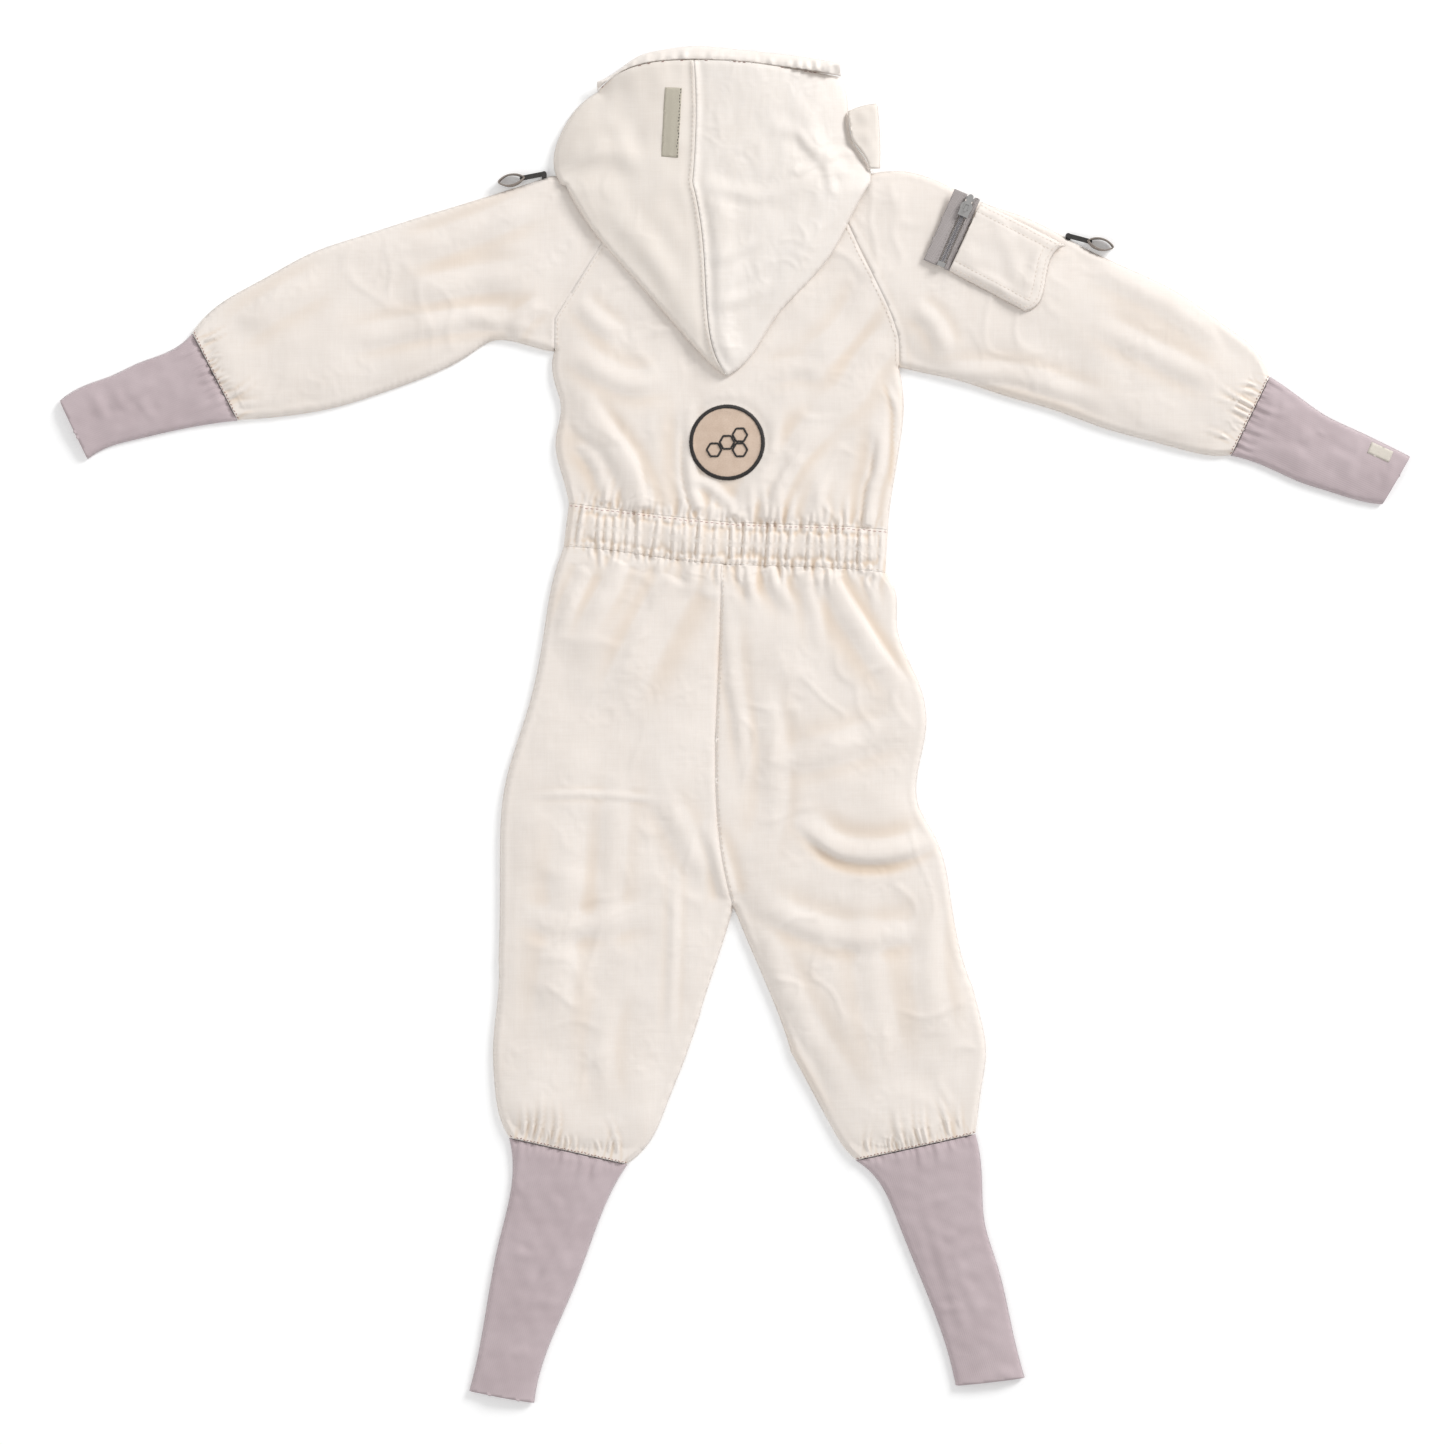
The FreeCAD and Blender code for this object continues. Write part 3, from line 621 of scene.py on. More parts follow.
def thicken(piece, thickness=None):
    solidify = piece.modifiers.new("cloth thickness", "SOLIDIFY")
    solidify.thickness = (thickness or suit["cloth"]) * mm
    solidify.offset = -1
    return applied(piece)


def shell(name, runs, kinds, height, low=None, fineRuns=(), underside=True, attributes=None, thickness=None,
          slot=None, **mesh):
    # a piece of cloth laid flat: an upper layer and, joined to it at the runs of kind "fold", a lower layer
    points, faces, onRun = filled(runs, fineRuns, **mesh)
    foldRuns = [np.asarray(run) for run, kind in zip(runs, kinds) if kind == "fold"]
    distance = np.full(len(points), 1e3)
    for run in foldRuns:
        distance = np.minimum(distance, nearest(points, run)[0])
    shared = np.array([k >= 0 and kinds[k] == "fold" for k in onRun])
    z = height(points, distance)
    top = np.column_stack([points, z])
    surfaces[name] = BVHTree.FromPolygons([tuple(p) for p in top], faces.tolist())
    if underside:
        z0 = low(points, distance) if low else suit["underside"] + 0 * z
        rim = z0 + (1.2 if low is None else 0.3)
        top[shared, 2] = np.minimum(top[shared, 2], rim[shared])
        lowerNumber = np.arange(len(points))
        below = np.flatnonzero(~shared)
        lowerNumber[below] = len(points) + np.arange(len(below))
        lift = np.exp(-distance / 2.0) * (rim - z0)
        bottom = np.column_stack([points, z0 + lift])[below]
        ears = shared[faces].all(1)
        faces = faces[~ears]
        lowerFaces = faces
        if slot is not None:
            lowerFaces = faces[~slot(points[faces].mean(1))]
        everything = np.concatenate([top, bottom])
        allFaces = np.concatenate([faces, lowerNumber[lowerFaces][:, ::-1]])
    else:
        below = np.zeros(0, int)
        everything, allFaces = top, faces
    used = np.unique(allFaces)
    renumber = np.full(len(everything), -1)
    renumber[used] = np.arange(len(used))
    piece = newMesh(name, everything[used], renumber[allFaces])
    for key, values in (attributes(points) if attributes else {}).items():
        both = np.concatenate([values, values[below]])
        addAttribute(piece, key, both[used])
    return thicken(piece, thickness)


def surfaceAt(names, x, y):
    # the highest point of some pieces at a place, and which way it faces
    best, facing = None, None
    for name in names:
        hit, normal, *_ = surfaces[name].ray_cast(Vector((x, y, 80)), Vector((0, 0, -1)))
        if hit and (best is None or hit.z > best):
            best, facing = hit.z, normal
    return best, facing


def capsules(name, ends, radius, sides=6, flatten=1.0):
    # many short threads in one mesh, each given by the points that it passes through
    points, faces = [], []
    for line in ends:
        line = np.array(line, float)
        ahead = line[-1] - line[0]
        ahead /= max(np.linalg.norm(ahead), 1e-9)
        across = np.cross(ahead, (0, 0, 1))
        across /= max(np.linalg.norm(across), 1e-9)
        up = np.cross(across, ahead)
        first = len(points)
        rings = [(line[0], 0.35)] + [(p, 1.0) for p in line[1:-1]] + [(line[-1], 0.35)]
        for centre, share in rings:
            for k in range(sides):
                a = 2 * math.pi * k / sides
                points.append(centre + radius * share * (math.cos(a) * across + math.sin(a) * up * flatten))
        for r in range(len(rings) - 1):
            for k in range(sides):
                a, b = first + r * sides + k, first + r * sides + (k + 1) % sides
                faces.append((b, a, a + sides, b + sides))
        faces.append(tuple(first + k for k in range(sides)))
        last = first + (len(rings) - 1) * sides
        faces.append(tuple(last + k for k in reversed(range(sides))))
    return newMesh(name, points, faces)


def stitchLine(run, on, length=2.4, gap=0.9, lift=0.15, zigzag=0.0, offset=0.0, rng=None):
    # the thread pieces of one seam, laid on the pieces named in on
    total = runLength(run)
    count = int(total / (length + gap))
    threads = []
    for i in range(count):
        at = (i + 0.5) / count
        p, q = evenly(run, [at - 0.5 * length / total, at + 0.5 * length / total])
        ahead = (q - p) / max(np.linalg.norm(q - p), 1e-9)
        across = np.array([-ahead[1], ahead[0]])
        side = zigzag * (1 if i % 2 else -1)
        wander = rng.normal(0, 0.18) if rng is not None else 0
        p, q = p + across * (offset - side + wander), q + across * (offset + side + wander)
        line = []
        for t in (0, 0.25, 0.75, 1):
            x, y = p + (q - p) * t
            z, _ = surfaceAt(on, x, y)
            if z is None:
                break
            line.append((x, y, z + lift - (0.3 if t in (0, 1) else 0)))
        if len(line) == 4:
            threads.append(line)
    return threads


# ---- the canvas: where it is folded, gathered and creased

def splitAt(run, y):
    # the parts of a run above and below a height on the page, in the run's own order
    crossing = next(i for i in range(1, len(run)) if (run[i - 1][1] - y) * (run[i][1] - y) <= 0)
    a, b = run[crossing - 1], run[crossing]
    point = a + (b - a) * ((y - a[1]) / (b[1] - a[1]) if b[1] != a[1] else 0)
    return np.array(list(run[:crossing]) + [point]), np.array([point] + list(run[crossing:]))


leftSide = sideOf("bodice_back", (0.05, 0.08), (0.01, 0.61))
leftSideFold, leftUnderarm = splitAt(leftSide, 281.0)
rightSide = sideOf("bodice_back", (0.79, 1), (0.95, 0))
rightRaglan, rightSideFold = splitAt(rightSide, 269.0)
leftRaglan = joined(leftUnderarm, sideOf("bodice_back", (0.01, 0.61), (0.25, 1)))
outerHalf, innerHalf = sorted(outlinesOf("left_sleeve")[-2:], key=lambda loop: loop[:, 0].min())
edges = {
    "leftSide": leftSideFold,
    "leftRaglan": leftRaglan,
    "neck": sideOf("bodice_back", (0.25, 1), (0.79, 1)),
    "rightRaglan": rightRaglan,
    "rightSide": rightSideFold,
    "leftArmTop": joined(sideOf("left_shoulder_cap", (1, 0.93), (0, 1)), sideOf(innerHalf, (1, 1), (0, 0.745)),
                         sideOf(outerHalf, (1, 1), (0, 0.465))),
    "leftWrist": sideOf(outerHalf, (0, 0.465), (0.25, 0)),
    "leftArmUnder": joined(sideOf(outerHalf, (0.25, 0), (1, 0.13)), sideOf(innerHalf, (0, 0), (1, 0.2))),
    "rightArmTop": joined(sideOf("right_shoulder_cap", (0, 0.91), (1, 1)), sideOf("right_sleeve", (0, 1), (1, 0.28))),
    "rightWrist": sideOf("right_sleeve", (1, 0.28), (0.9, 0)),
    "rightArmUnder": sideOf("right_sleeve", (0.9, 0), (0, 0.31)),
    "casingTop": sideOf("waistband_casing", (1, 0.62), (0.02, 1)),
    "casingLeft": sideOf("waistband_casing", (0.02, 1), (0, 0.37)),
    "casingBottom": sideOf("waistband_casing", (0, 0.37), (0.99, 0)),
    "casingRight": sideOf("waistband_casing", (0.99, 0), (1, 0.62)),
    "leftCentre": sideOf("trouser_back_left", (0.95, 0.96), (1, 0.22)),
    "leftInner": joined(sideOf("trouser_back_left", (1, 0.22), (0.86, 0)), sideOf("left_shin", (1, 0.74), (0.65, 0))),
    "leftAnkle": sideOf("left_shin", (0.65, 0), (0.08, 0.13)),
    "leftOuter": joined(sideOf("left_shin", (0.08, 0.13), (0.03, 1)),
                        sideOf("trouser_back_left", (0, 0.11), (0.28, 1))),
    "rightOuter": joined(sideOf("trouser_back_right", (0.66, 0.98), (1, 0.13)),
                         sideOf("right_shin", (0.93, 1), (0.95, 0.15))),
    "rightAnkle": sideOf("right_shin", (0.95, 0.15), (0.34, 0)),
}
rightInnerAll = joined(sideOf("right_shin", (0.34, 0), (0, 0.63)), sideOf("trouser_back_right", (0.29, 0), (0.02, 1)))
rightInnerUp, _ = splitAt(rightInnerAll, -137.5)
edges["rightInner"] = rightInnerUp


def cornered(run, first, last):
    # the run with its two ends moved onto other points
    run = run.copy()
    run[0], run[-1] = first, last
    return run


# neighbouring pieces are cut along the same lines, so that their seams close
casingTop, casingBottom = edges["casingTop"], edges["casingBottom"]
hipMiddle = np.array([edges["leftCentre"][0][0], 0.0])
belt = casingBottom
middleAt = int(np.argmin(np.abs(belt[:, 0] - hipMiddle[0])))
seatTop = belt[middleAt]
edges["leftHipTop"] = belt[:middleAt + 1]
edges["rightHipTop"] = belt[middleAt:]
crotch = edges["leftCentre"][-1]
edges["leftCentre"] = cornered(edges["leftCentre"], seatTop, crotch)
edges["leftInner"] = cornered(edges["leftInner"], crotch, edges["leftInner"][-1])
edges["rightInner"] = cornered(edges["rightInner"], edges["rightAnkle"][-1], crotch)
edges["leftSide"] = cornered(edges["leftSide"], casingTop[-1], edges["leftSide"][-1])
edges["rightSide"] = cornered(edges["rightSide"], edges["rightSide"][0], casingTop[0])
edges["leftOuter"] = cornered(edges["leftOuter"], edges["leftAnkle"][-1], belt[0])
edges["rightOuter"] = cornered(edges["rightOuter"], belt[-1], edges["rightAnkle"][0])
edges["casingLeft"] = cornered(edges["casingLeft"], casingTop[-1], belt[0])
edges["casingRight"] = cornered(edges["casingRight"], belt[-1], casingTop[0])
edges["leftArmTop"] = cornered(edges["leftArmTop"], leftRaglan[-1], edges["leftArmTop"][-1])
edges["leftArmUnder"] = cornered(edges["leftArmUnder"], edges["leftArmUnder"][0], leftRaglan[0])
edges["rightArmTop"] = cornered(edges["rightArmTop"], rightRaglan[0], edges["rightArmTop"][-1])
edges["rightArmUnder"] = cornered(edges["rightArmUnder"], edges["rightArmUnder"][0], rightRaglan[-1])
foldNames = ["leftSide", "rightSide", "leftArmTop", "leftArmUnder", "rightArmTop", "rightArmUnder", "casingLeft",
             "casingRight", "leftInner", "leftOuter", "rightInner", "rightOuter"]
canvasFolds = [edges[n] for n in foldNames]

# Folds that lie in the canvas: a path, how high, and how wide to its left and right
canvasCreases = [
    # bodice: long folds that run down into the waist
    crease([(-118, 252), (-98, 222), (-79, 196), (-70, 174), (-68, 160)], 3.6, (6, 13), (0.4, 0.05)),
    crease([(-74, 206), (-67, 180), (-65, 160)], -1.8, (2.2, 3), (0.5, 0), 0),
    crease([(-33, 256), (-34, 204), (-32, 178), (-26, 160)], 2.8, (4, 8), (0.5, 0.05)),
    crease([(-38, 240), (-40, 204), (-38, 178), (-31, 158)], -1.9, (3, 2), (0.4, 0), 0),
    crease([(-36, 188), (-18, 178), (-6, 168), (-2, 156)], 1.9, (4, 4), (0.2, 0.05)),
    crease([(34, 242), (26, 206), (12, 174), (1, 153)], 2.8, (6, 8), (0.5, 0.05)),
    crease([(78, 236), (50, 208), (35, 184), (28, 160), (26, 151)], 3.2, (6, 10), (0.4, 0.05)),
    crease([(66, 222), (43, 203), (29, 182), (21, 153)], -1.6, (2.4, 4), (0.5, 0), 0),
    crease([(70, 190), (62, 170), (58, 151)], 1.8, (4, 5), (0.5, 0.05)),
    crease([(112, 236), (109, 196), (104, 178), (100, 148)], 3.2, (4, 7), (0.4, 0.03)),
    crease([(106, 222), (103, 192), (98, 176), (95, 148)], -2.6, (1.8, 2.2), (0.4, 0), 0),
    crease([(111, 258), (118, 236), (118, 204), (116, 174)], -1.4, (1.4, 1.4), (0.1, 0.2), 0),
    crease([(115, 256), (122, 234), (121, 204)], 1.5, (3, 3)),
    crease([(-128, 286), (-104, 268), (-76, 256), (-48, 262)], 1.8, (8, 7)),
    crease([(-120, 322), (-104, 304), (-84, 290)], 1.6, (6, 6)),
    crease([(124, 300), (100, 276), (86, 250), (60, 232)], 2.0, (9, 8)),
    crease([(104, 336), (92, 310), (76, 288), (48, 268)], 1.8, (8, 8)),
    crease([(22, 262), (46, 268), (70, 264)], 1.2, (6, 6)),
    crease([(-126, 214), (-108, 200), (-98, 178), (-98, 166)], 1.9, (5, 5), (0.4, 0.05)),
    crease([(-12, 150), (-12, 172), (-16, 184)], 1.0, (3, 3), (0, 0.6)),
    # below the waist
    crease([(-32, 125), (-33, 112), (-37, 92)], 2.4, (4, 5), (0.02, 0.7)),
    crease([(8, 121), (10, 108), (17, 86)], 2.4, (4, 4), (0.02, 0.7)),
    crease([(25, 119), (33, 102), (46, 80)], 2.6, (4, 6), (0.02, 0.7)),
    crease([(70, 117), (82, 96), (112, 50), (134, 24)], 3.4, (5, 10), (0.05, 0.4)),
    crease([(76, 116), (90, 94), (120, 48), (140, 26)], -1.5, (3, 3), (0.1, 0.4), 0),
    crease([(91, 113), (100, 116), (112, 110)], 1.8, (3, 3)),
    crease([(-46, 112), (-70, 66), (-96, 11)], 2.8, (14, 8), (0.05, 0.5)),
    crease([(-86, 124), (-96, 100), (-116, 66)], 2.0, (6, 6), (0.05, 0.6)),
    crease([(-112, 118), (-124, 92), (-136, 60)], 1.8, (5, 5), (0.05, 0.6)),
    crease([(52, 116), (60, 84), (64, 48)], 1.8, (5, 6), (0.03, 0.7)),
    # trousers
    crease([(-6, 98), (-3, 37.5), (3, 4.5), (8, -49)], 1.6, (6, 4)),
    crease([(20, 40), (28, -6), (30, -60), (18, -104)], 1.5, (7, 9)),
    crease([(-45, -95), (-46, -160), (-49, -245)], 1.2, (3.5, 3.5)),
    crease([(-26, -67), (-14, -97), (-5, -132)], 2.8, (6, 5), (0.5, 0.1)),
    crease([(-62, -40), (-40, -80), (-20, -120)], 1.6, (8, 8), (0.5, 0.3)),
    crease([(44, -66), (72, -92), (104, -98), (133, -93), (156, -80)], 3.6, (9, 5)),
    crease([(52, -80), (76, -104), (106, -109), (138, -104)], -1.6, (4, 4), beside=0),
    crease([(10, -126), (40, -146), (90, -160), (150, -154)], 2.0, (9, 7)),
    crease([(30, -30), (80, -18), (132, -2)], 1.4, (10, 8)),
    crease([(12, -140), (34, -190), (60, -240), (96, -296)], 1.6, (9, 9)),
    crease([(150, -120), (146, -180), (156, -240)], 1.5, (8, 10)),
    crease([(96, -130), (104, -200), (120, -270)], 1.3, (9, 9)),
    crease([(-160, -54), (-110, -52), (-50, -57)], 0.9, (2.5, 2.5)),
    crease([(-168, -140), (-120, -152), (-60, -140)], 1.5, (9, 7)),
    crease([(-120, -60), (-128, -150), (-140, -250)], 1.4, (9, 11)),
    crease([(-84, -20), (-92, -90), (-96, -180)], 1.2, (8, 8)),
    crease([(-90, -190), (-100, -240), (-96, -290)], 1.3, (7, 8)),
    # raglan seams, a low ridge each
    crease([(-100.5, 362), (-119, 328.5), (-134, 305), (-137, 284)], 0.5, (1.8, 2.4), (0, 0)),
    crease([(86, 377), (99, 352.5), (110, 326), (122, 298), (127, 272)], 0.5, (2.4, 1.8), (0, 0)),
    # sleeves
    crease([(-142, 396), (-190, 374), (-250, 352)], 2.0, (8, 8)),
    crease([(-150, 340), (-196, 334), (-250, 322)], 1.6, (9, 8)),
    crease([(-146, 300), (-200, 304), (-300, 285)], 2.0, (6, 8)),
    crease([(-142, 318), (-160, 306), (-170, 288)], 1.8, (5, 5)),
    crease([(-300, 340), (-344, 316), (-384, 290)], 1.5, (8, 8)),
    crease([(130, 318), (150, 300), (160, 276)], 1.8, (6, 6)),
    crease([(262, 306), (320, 276), (368, 252)], 1.8, (7, 7)),
    crease([(262, 348), (320, 320), (374, 282)], 1.5, (8, 8)),
    crease([(140, 262), (210, 262), (290, 236)], 1.8, (7, 6)),
]
pleatSets = [
    pleats(edges["casingTop"], (-6, 300), 46, 34, 1.7, 11),
    pleats(edges["casingBottom"], (-6, -40), 46, 26, 1.7, 12),
    pleats(edges["leftWrist"], (-300, 300), 20, 30, 1.7, 13),
    pleats(edges["rightWrist"], (290, 290), 20, 30, 1.7, 14),
    pleats(edges["leftAnkle"], (-110, -230), 26, 36, 1.8, 15, leaning=0.15),
    pleats(edges["rightAnkle"], (120, -230), 26, 36, 1.8, 16),
]
# folds across the elastic casing: where each is at its top and at its bottom edge, and its size
casingFolds = [(-113, -119, 1), (-25, -28, 1), (-1.5, -2, 1), (9, 6.5, 1), (27, 25, 1), (95, 94, 1), (111, 109, 1),
               (-101, -103, 0.6), (-95, -97, 0.5), (-89, -90, 0.6), (-79, -81, 0.5), (-72, -73, 0.6), (-56, -61, 0.6),
               (-45, -46, 0.5), (-36, -38, 0.4), (-14, -15, 0.5), (17, 16, 0.5), (36, 34, 0.5), (43.5, 39.5, 0.6),
               (57, 55, 0.6), (65, 68, 0.6), (78, 79, 0.6), (86, 85, 0.5), (102, 102, 0.5)]


def atX(run, x):
    order = np.argsort(run[:, 0])
    return float(np.interp(x, run[order, 0], run[order, 1]))


for top, bottom, size in casingFolds:
    canvasCreases.append(crease([(top, atX(edges["casingTop"], top) + 3),
                                 (bottom, atX(edges["casingBottom"], bottom) - 3)], 2.6 * size, (1.6, 4.2), (0.1,
                                                                                                             0.1), 0.2))
    canvasCreases.append(crease([(top - 2.4, atX(edges["casingTop"], top - 2.4) + 2),
                                 (bottom - 2.4, atX(edges["casingBottom"], bottom - 2.4) - 2)], -2.6 * size, (1.2,
                                                                                                              1.2), (0.05, 0.05), 0))
for group in pleatSets:
    canvasCreases += group

gatherLines = [edges["casingTop"], edges["casingBottom"], edges["leftWrist"], edges["rightWrist"], edges["leftAnkle"],
               edges["rightAnkle"]]


def canvasHeight(points, distance):
    # the height of the suit's back at some places: one surface, from which each piece is cut
    z = rolled(distance, 1.7, suit["back"])
    level = smooth(distance / 14)
    z += level * (0.8 * crinkle(points, 85, 3) + 0.4 * crinkle(points, 34, 4) + 0.8 * creased(points, 46, 5)
                  + 0.42 * creased(points, 21, 6) + 0.06 * crinkle(points, 8, 7))
    z += (0.35 + 0.65 * smooth(distance / 8)) * foldHeights(points, canvasCreases)
    for i, line in enumerate(gatherLines):
        away = nearest(points, line)[0]
        drop = 1.6 if i < 2 else 3.6
        z -= drop * np.exp(-(away / (5.0 if i < 2 else 9.0)) ** 1.5) * smooth(distance / 6)
    seam = joined(edges["leftCentre"])
    z -= 1.1 * np.exp(-(nearest(points, seam)[0] / 1.5) ** 2)
    z -= 0.8 * np.exp(-((np.hypot(points[:, 0] - patchAt[0], points[:, 1] - patchAt[1]) - 30.5) / 3.2) ** 2)
    return np.maximum(z, np.minimum(1.7 + 1.1 * distance, 6.0))


patchLow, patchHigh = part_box("patch_border")
patchAt = ((patchLow + patchHigh) / 2 / mm)[:2]


def canvasShell(name, runNames, fineNames=(), **settings):
    runs = [edges[n] if isinstance(n, str) else n for n in runNames]
    kinds = ["fold" if isinstance(n, str) and n in foldNames else "open" for n in runNames]
    near = []
    low, high = joined(*runs).min(0) - 60, joined(*runs).max(0) + 60
    for fold in canvasFolds:
        if ((fold > low) & (fold < high)).all(1).any():
            near.append(fold)

    def height(points, distance):
        for fold in near:
            distance = np.minimum(distance, nearest(points, fold)[0])
        return canvasHeight(points, distance)

    def paintedShadeMask(points):
        # how deep a place lies between folds: the mask for painted warm shade, standing in for light that bounces
        # between the folds
        return {"painted_shade": np.clip(-foldHeights(points, canvasCreases) / 1.5, 0, 1)}
    return shell(name, runs, kinds, height, fineRuns=[edges[n] for n in fineNames], borderFine=gatherLines,
                 attributes=paintedShadeMask, **settings)


def inOpening(points):
    # the part of the front that the zip closes
    x, y = points[:, 0], points[:, 1]
    return (x > opening["left"]) & (x < opening["right"]) & (y > opening["foot"] - 8 + np.abs(x - opening["middle"]) * 1.2)


# where the two front edges stop short of each other for the zip
opening = {"left": -12.0, "right": 2.0, "middle": -5.0, "foot": -62.0}
leftCut = [(opening["left"], opening["foot"] + 0.5), (opening["left"], 420)]
rightCut = [(opening["right"], opening["foot"] + 0.5), (opening["right"], 420)]
bodice = canvasShell("bodice", ["casingTop", "leftSide", "leftRaglan", "neck", "rightRaglan", "rightSide"],
                     ["casingTop"],
                     cuts=[[(c[0][0], 130), (c[0][0], 400)] for c in (leftCut, rightCut)], slot=inOpening)
print("bodice made")
leftSleeve = canvasShell("leftSleeve", ["leftArmTop", "leftWrist", "leftArmUnder", leftRaglan], ["leftWrist"])
rightSleeve = canvasShell("rightSleeve", ["rightArmTop", "rightWrist", "rightArmUnder", rightRaglan[::-1]],
                          ["rightWrist"])
print("sleeves made")
leftTrouser = canvasShell("leftTrouser", ["leftHipTop", "leftCentre", "leftInner", "leftAnkle", "leftOuter"],
                          ["leftHipTop", "leftAnkle"])
rightTrouser = canvasShell("rightTrouser", ["rightHipTop", "rightOuter", "rightAnkle", "rightInner",
                                            edges["leftCentre"][::-1]],
                           ["rightHipTop", "rightAnkle"], cuts=[[rightCut[0], (opening["right"], 118)]], slot=inOpening)
waistband = canvasShell("waistband", ["casingTop", "casingLeft", "casingBottom", "casingRight"],
                        ["casingTop", "casingBottom"],
                        cuts=[[(c[0][0], 124), (c[0][0], 150)] for c in (leftCut, rightCut)], slot=inOpening)
print("trousers and waistband made")


# ---- knit cuffs

def cuff(name, node, gatherFrom, gatherTo, hemFrom, hemTo, height, seed):
    # a doubled tube of knit, gathered into the canvas at one end and open at its hem
    gather = sideOf(node, gatherFrom, gatherTo)
    hem = sideOf(node, hemFrom, hemTo)
    first = sideOf(node, gatherTo, hemFrom)
    second = sideOf(node, hemTo, gatherFrom)
    middle = [np.array((gather[0] + gather[-1]) / 2), np.array((hem[0] + hem[-1]) / 2)]
    folds = pleats(gather, middle[1], 16, 26, 0.9, seed)
    rng = np.random.default_rng(seed + 50)
    for _ in range(5):
        # long soft wrinkles along the tube and a few across it
        start = evenly(gather, [rng.uniform(0.15, 0.85)])[0]
        end = evenly(hem, [rng.uniform(0.15, 0.85)])[0]
        a, b = sorted(rng.uniform(0.02, 0.95, 2))
        folds.append(crease([start + (end - start) * a, start + (end - start) * b], rng.uniform(0.4, 1.0),
                            (rng.uniform(3, 6), rng.uniform(3, 6))))
    for _ in range(5):
        share = rng.uniform(0.05, 0.9)
        p = first[0] + (first[-1] - first[0]) * share
        q = second[-1] + (second[0] - second[-1]) * min(1, share + rng.uniform(-0.15, 0.15))
        a, b = sorted(rng.uniform(0.05, 0.95, 2))
        folds.append(crease([p + (q - p) * a, p + (q - p) * b], rng.uniform(0.35, 0.9),
                            (rng.uniform(3, 5), rng.uniform(3, 5))))

    def lie(points, distance):
        away = nearest(points, gather)[0]
        z = rolled(distance, 1.6, height, 12)
        z += smooth(distance / 8) * (0.35 * crinkle(points, 40, seed) + 0.2 * crinkle(points, 13, seed + 1))
        z += smooth(distance / 6) * foldHeights(points, folds)
        z -= 1.5 * np.exp(-(away / 3.5) ** 2) * smooth(distance / 5)
        return np.maximum(z, 1.2)

    def measures(points):
        a, b = middle
        ahead = (b - a) / np.linalg.norm(b - a)
        side = np.array([-ahead[1], ahead[0]])
        return {"along": (points - a) @ ahead, "across": (points - a) @ side}

    piece = shell(name, [gather, first, hem, second], ["open", "fold", "open", "fold"], lie, fineRuns=[gather],
                  attributes=measures, thickness=1.0, step=2.1, fineStep=1.1)
    return finish(piece, rib)


leftCuff = cuff("leftCuff", "left_cuff", (0.75, 1), (1, 0.31), (0.16, 0), (0, 0.47), 7.0, 21)
rightCuff = cuff("rightCuff", "right_cuff", (0, 0.38), (0.22, 1), (1, 0.38), (0.84, 0), 7.0, 22)
leftAnkleCuff = cuff("leftAnkleCuff", "left_ankle_cuff", (1, 0.9), (0.25, 1), (0, 0.05), (0.41, 0), 7.4, 23)
rightAnkleCuff = cuff("rightAnkleCuff", "right_ankle_cuff", (0.71, 1), (0, 0.89), (0.59, 0), (1, 0.03), 7.4, 24)
print("cuffs made")


# ---- hood

hood = {"top": 20.4, "slope": 24.0, "tuck": 405.0, "pouchEdge": 11.9, "floorEdge": 2.2, "ridge": 1.5}
hoodEdge = {
    "leftBrim": sideOf("hood_left_brim", (0.06, 0), (0.99, 1)),
    "leftSeamUp": sideOf("hood_left_brim", (0.99, 1), (0.98, 0)),
    "leftSeam": sideOf("hood_left_panel", (0.79, 1), (1, 0)),
    "leftPouch": sideOf("hood_left_panel", (0.99, 0), (0, 1)),
    "rightSeam": sideOf("hood_right_panel", (0.19, 0), (0, 1)),
    "rightSeamUp": sideOf("hood_right_brim", (0, 0), (0.01, 1)),
    "rightBrim": sideOf("hood_right_brim", (0.01, 1), (0.99, 0)),
    "rightPouch": sideOf("hood_right_panel", (1, 1), (0.21, 0)),
}
leftHoodTop, rightHoodTop = hoodEdge["leftBrim"], hoodEdge["rightBrim"]
leftTurn = int(np.argmin(np.linalg.norm(leftHoodTop - sideOf("hood_hem", (0, 0), (1, 0.33))[0], axis=1)))
rightTurn = int(np.argmin(np.linalg.norm(rightHoodTop - sideOf("hood_hem", (0, 0), (1, 0.33))[-1], axis=1)))
leftSideUp, leftBrimLine = leftHoodTop[:leftTurn + 1], leftHoodTop[leftTurn:]
rightBrimLine, rightSideUp = rightHoodTop[:rightTurn + 1], rightHoodTop[rightTurn:]
seamLine = joined(hoodEdge["leftSeamUp"], hoodEdge["leftSeam"])
hoodFolds = [leftSideUp, rightSideUp, hoodEdge["leftPouch"], hoodEdge["rightPouch"]]
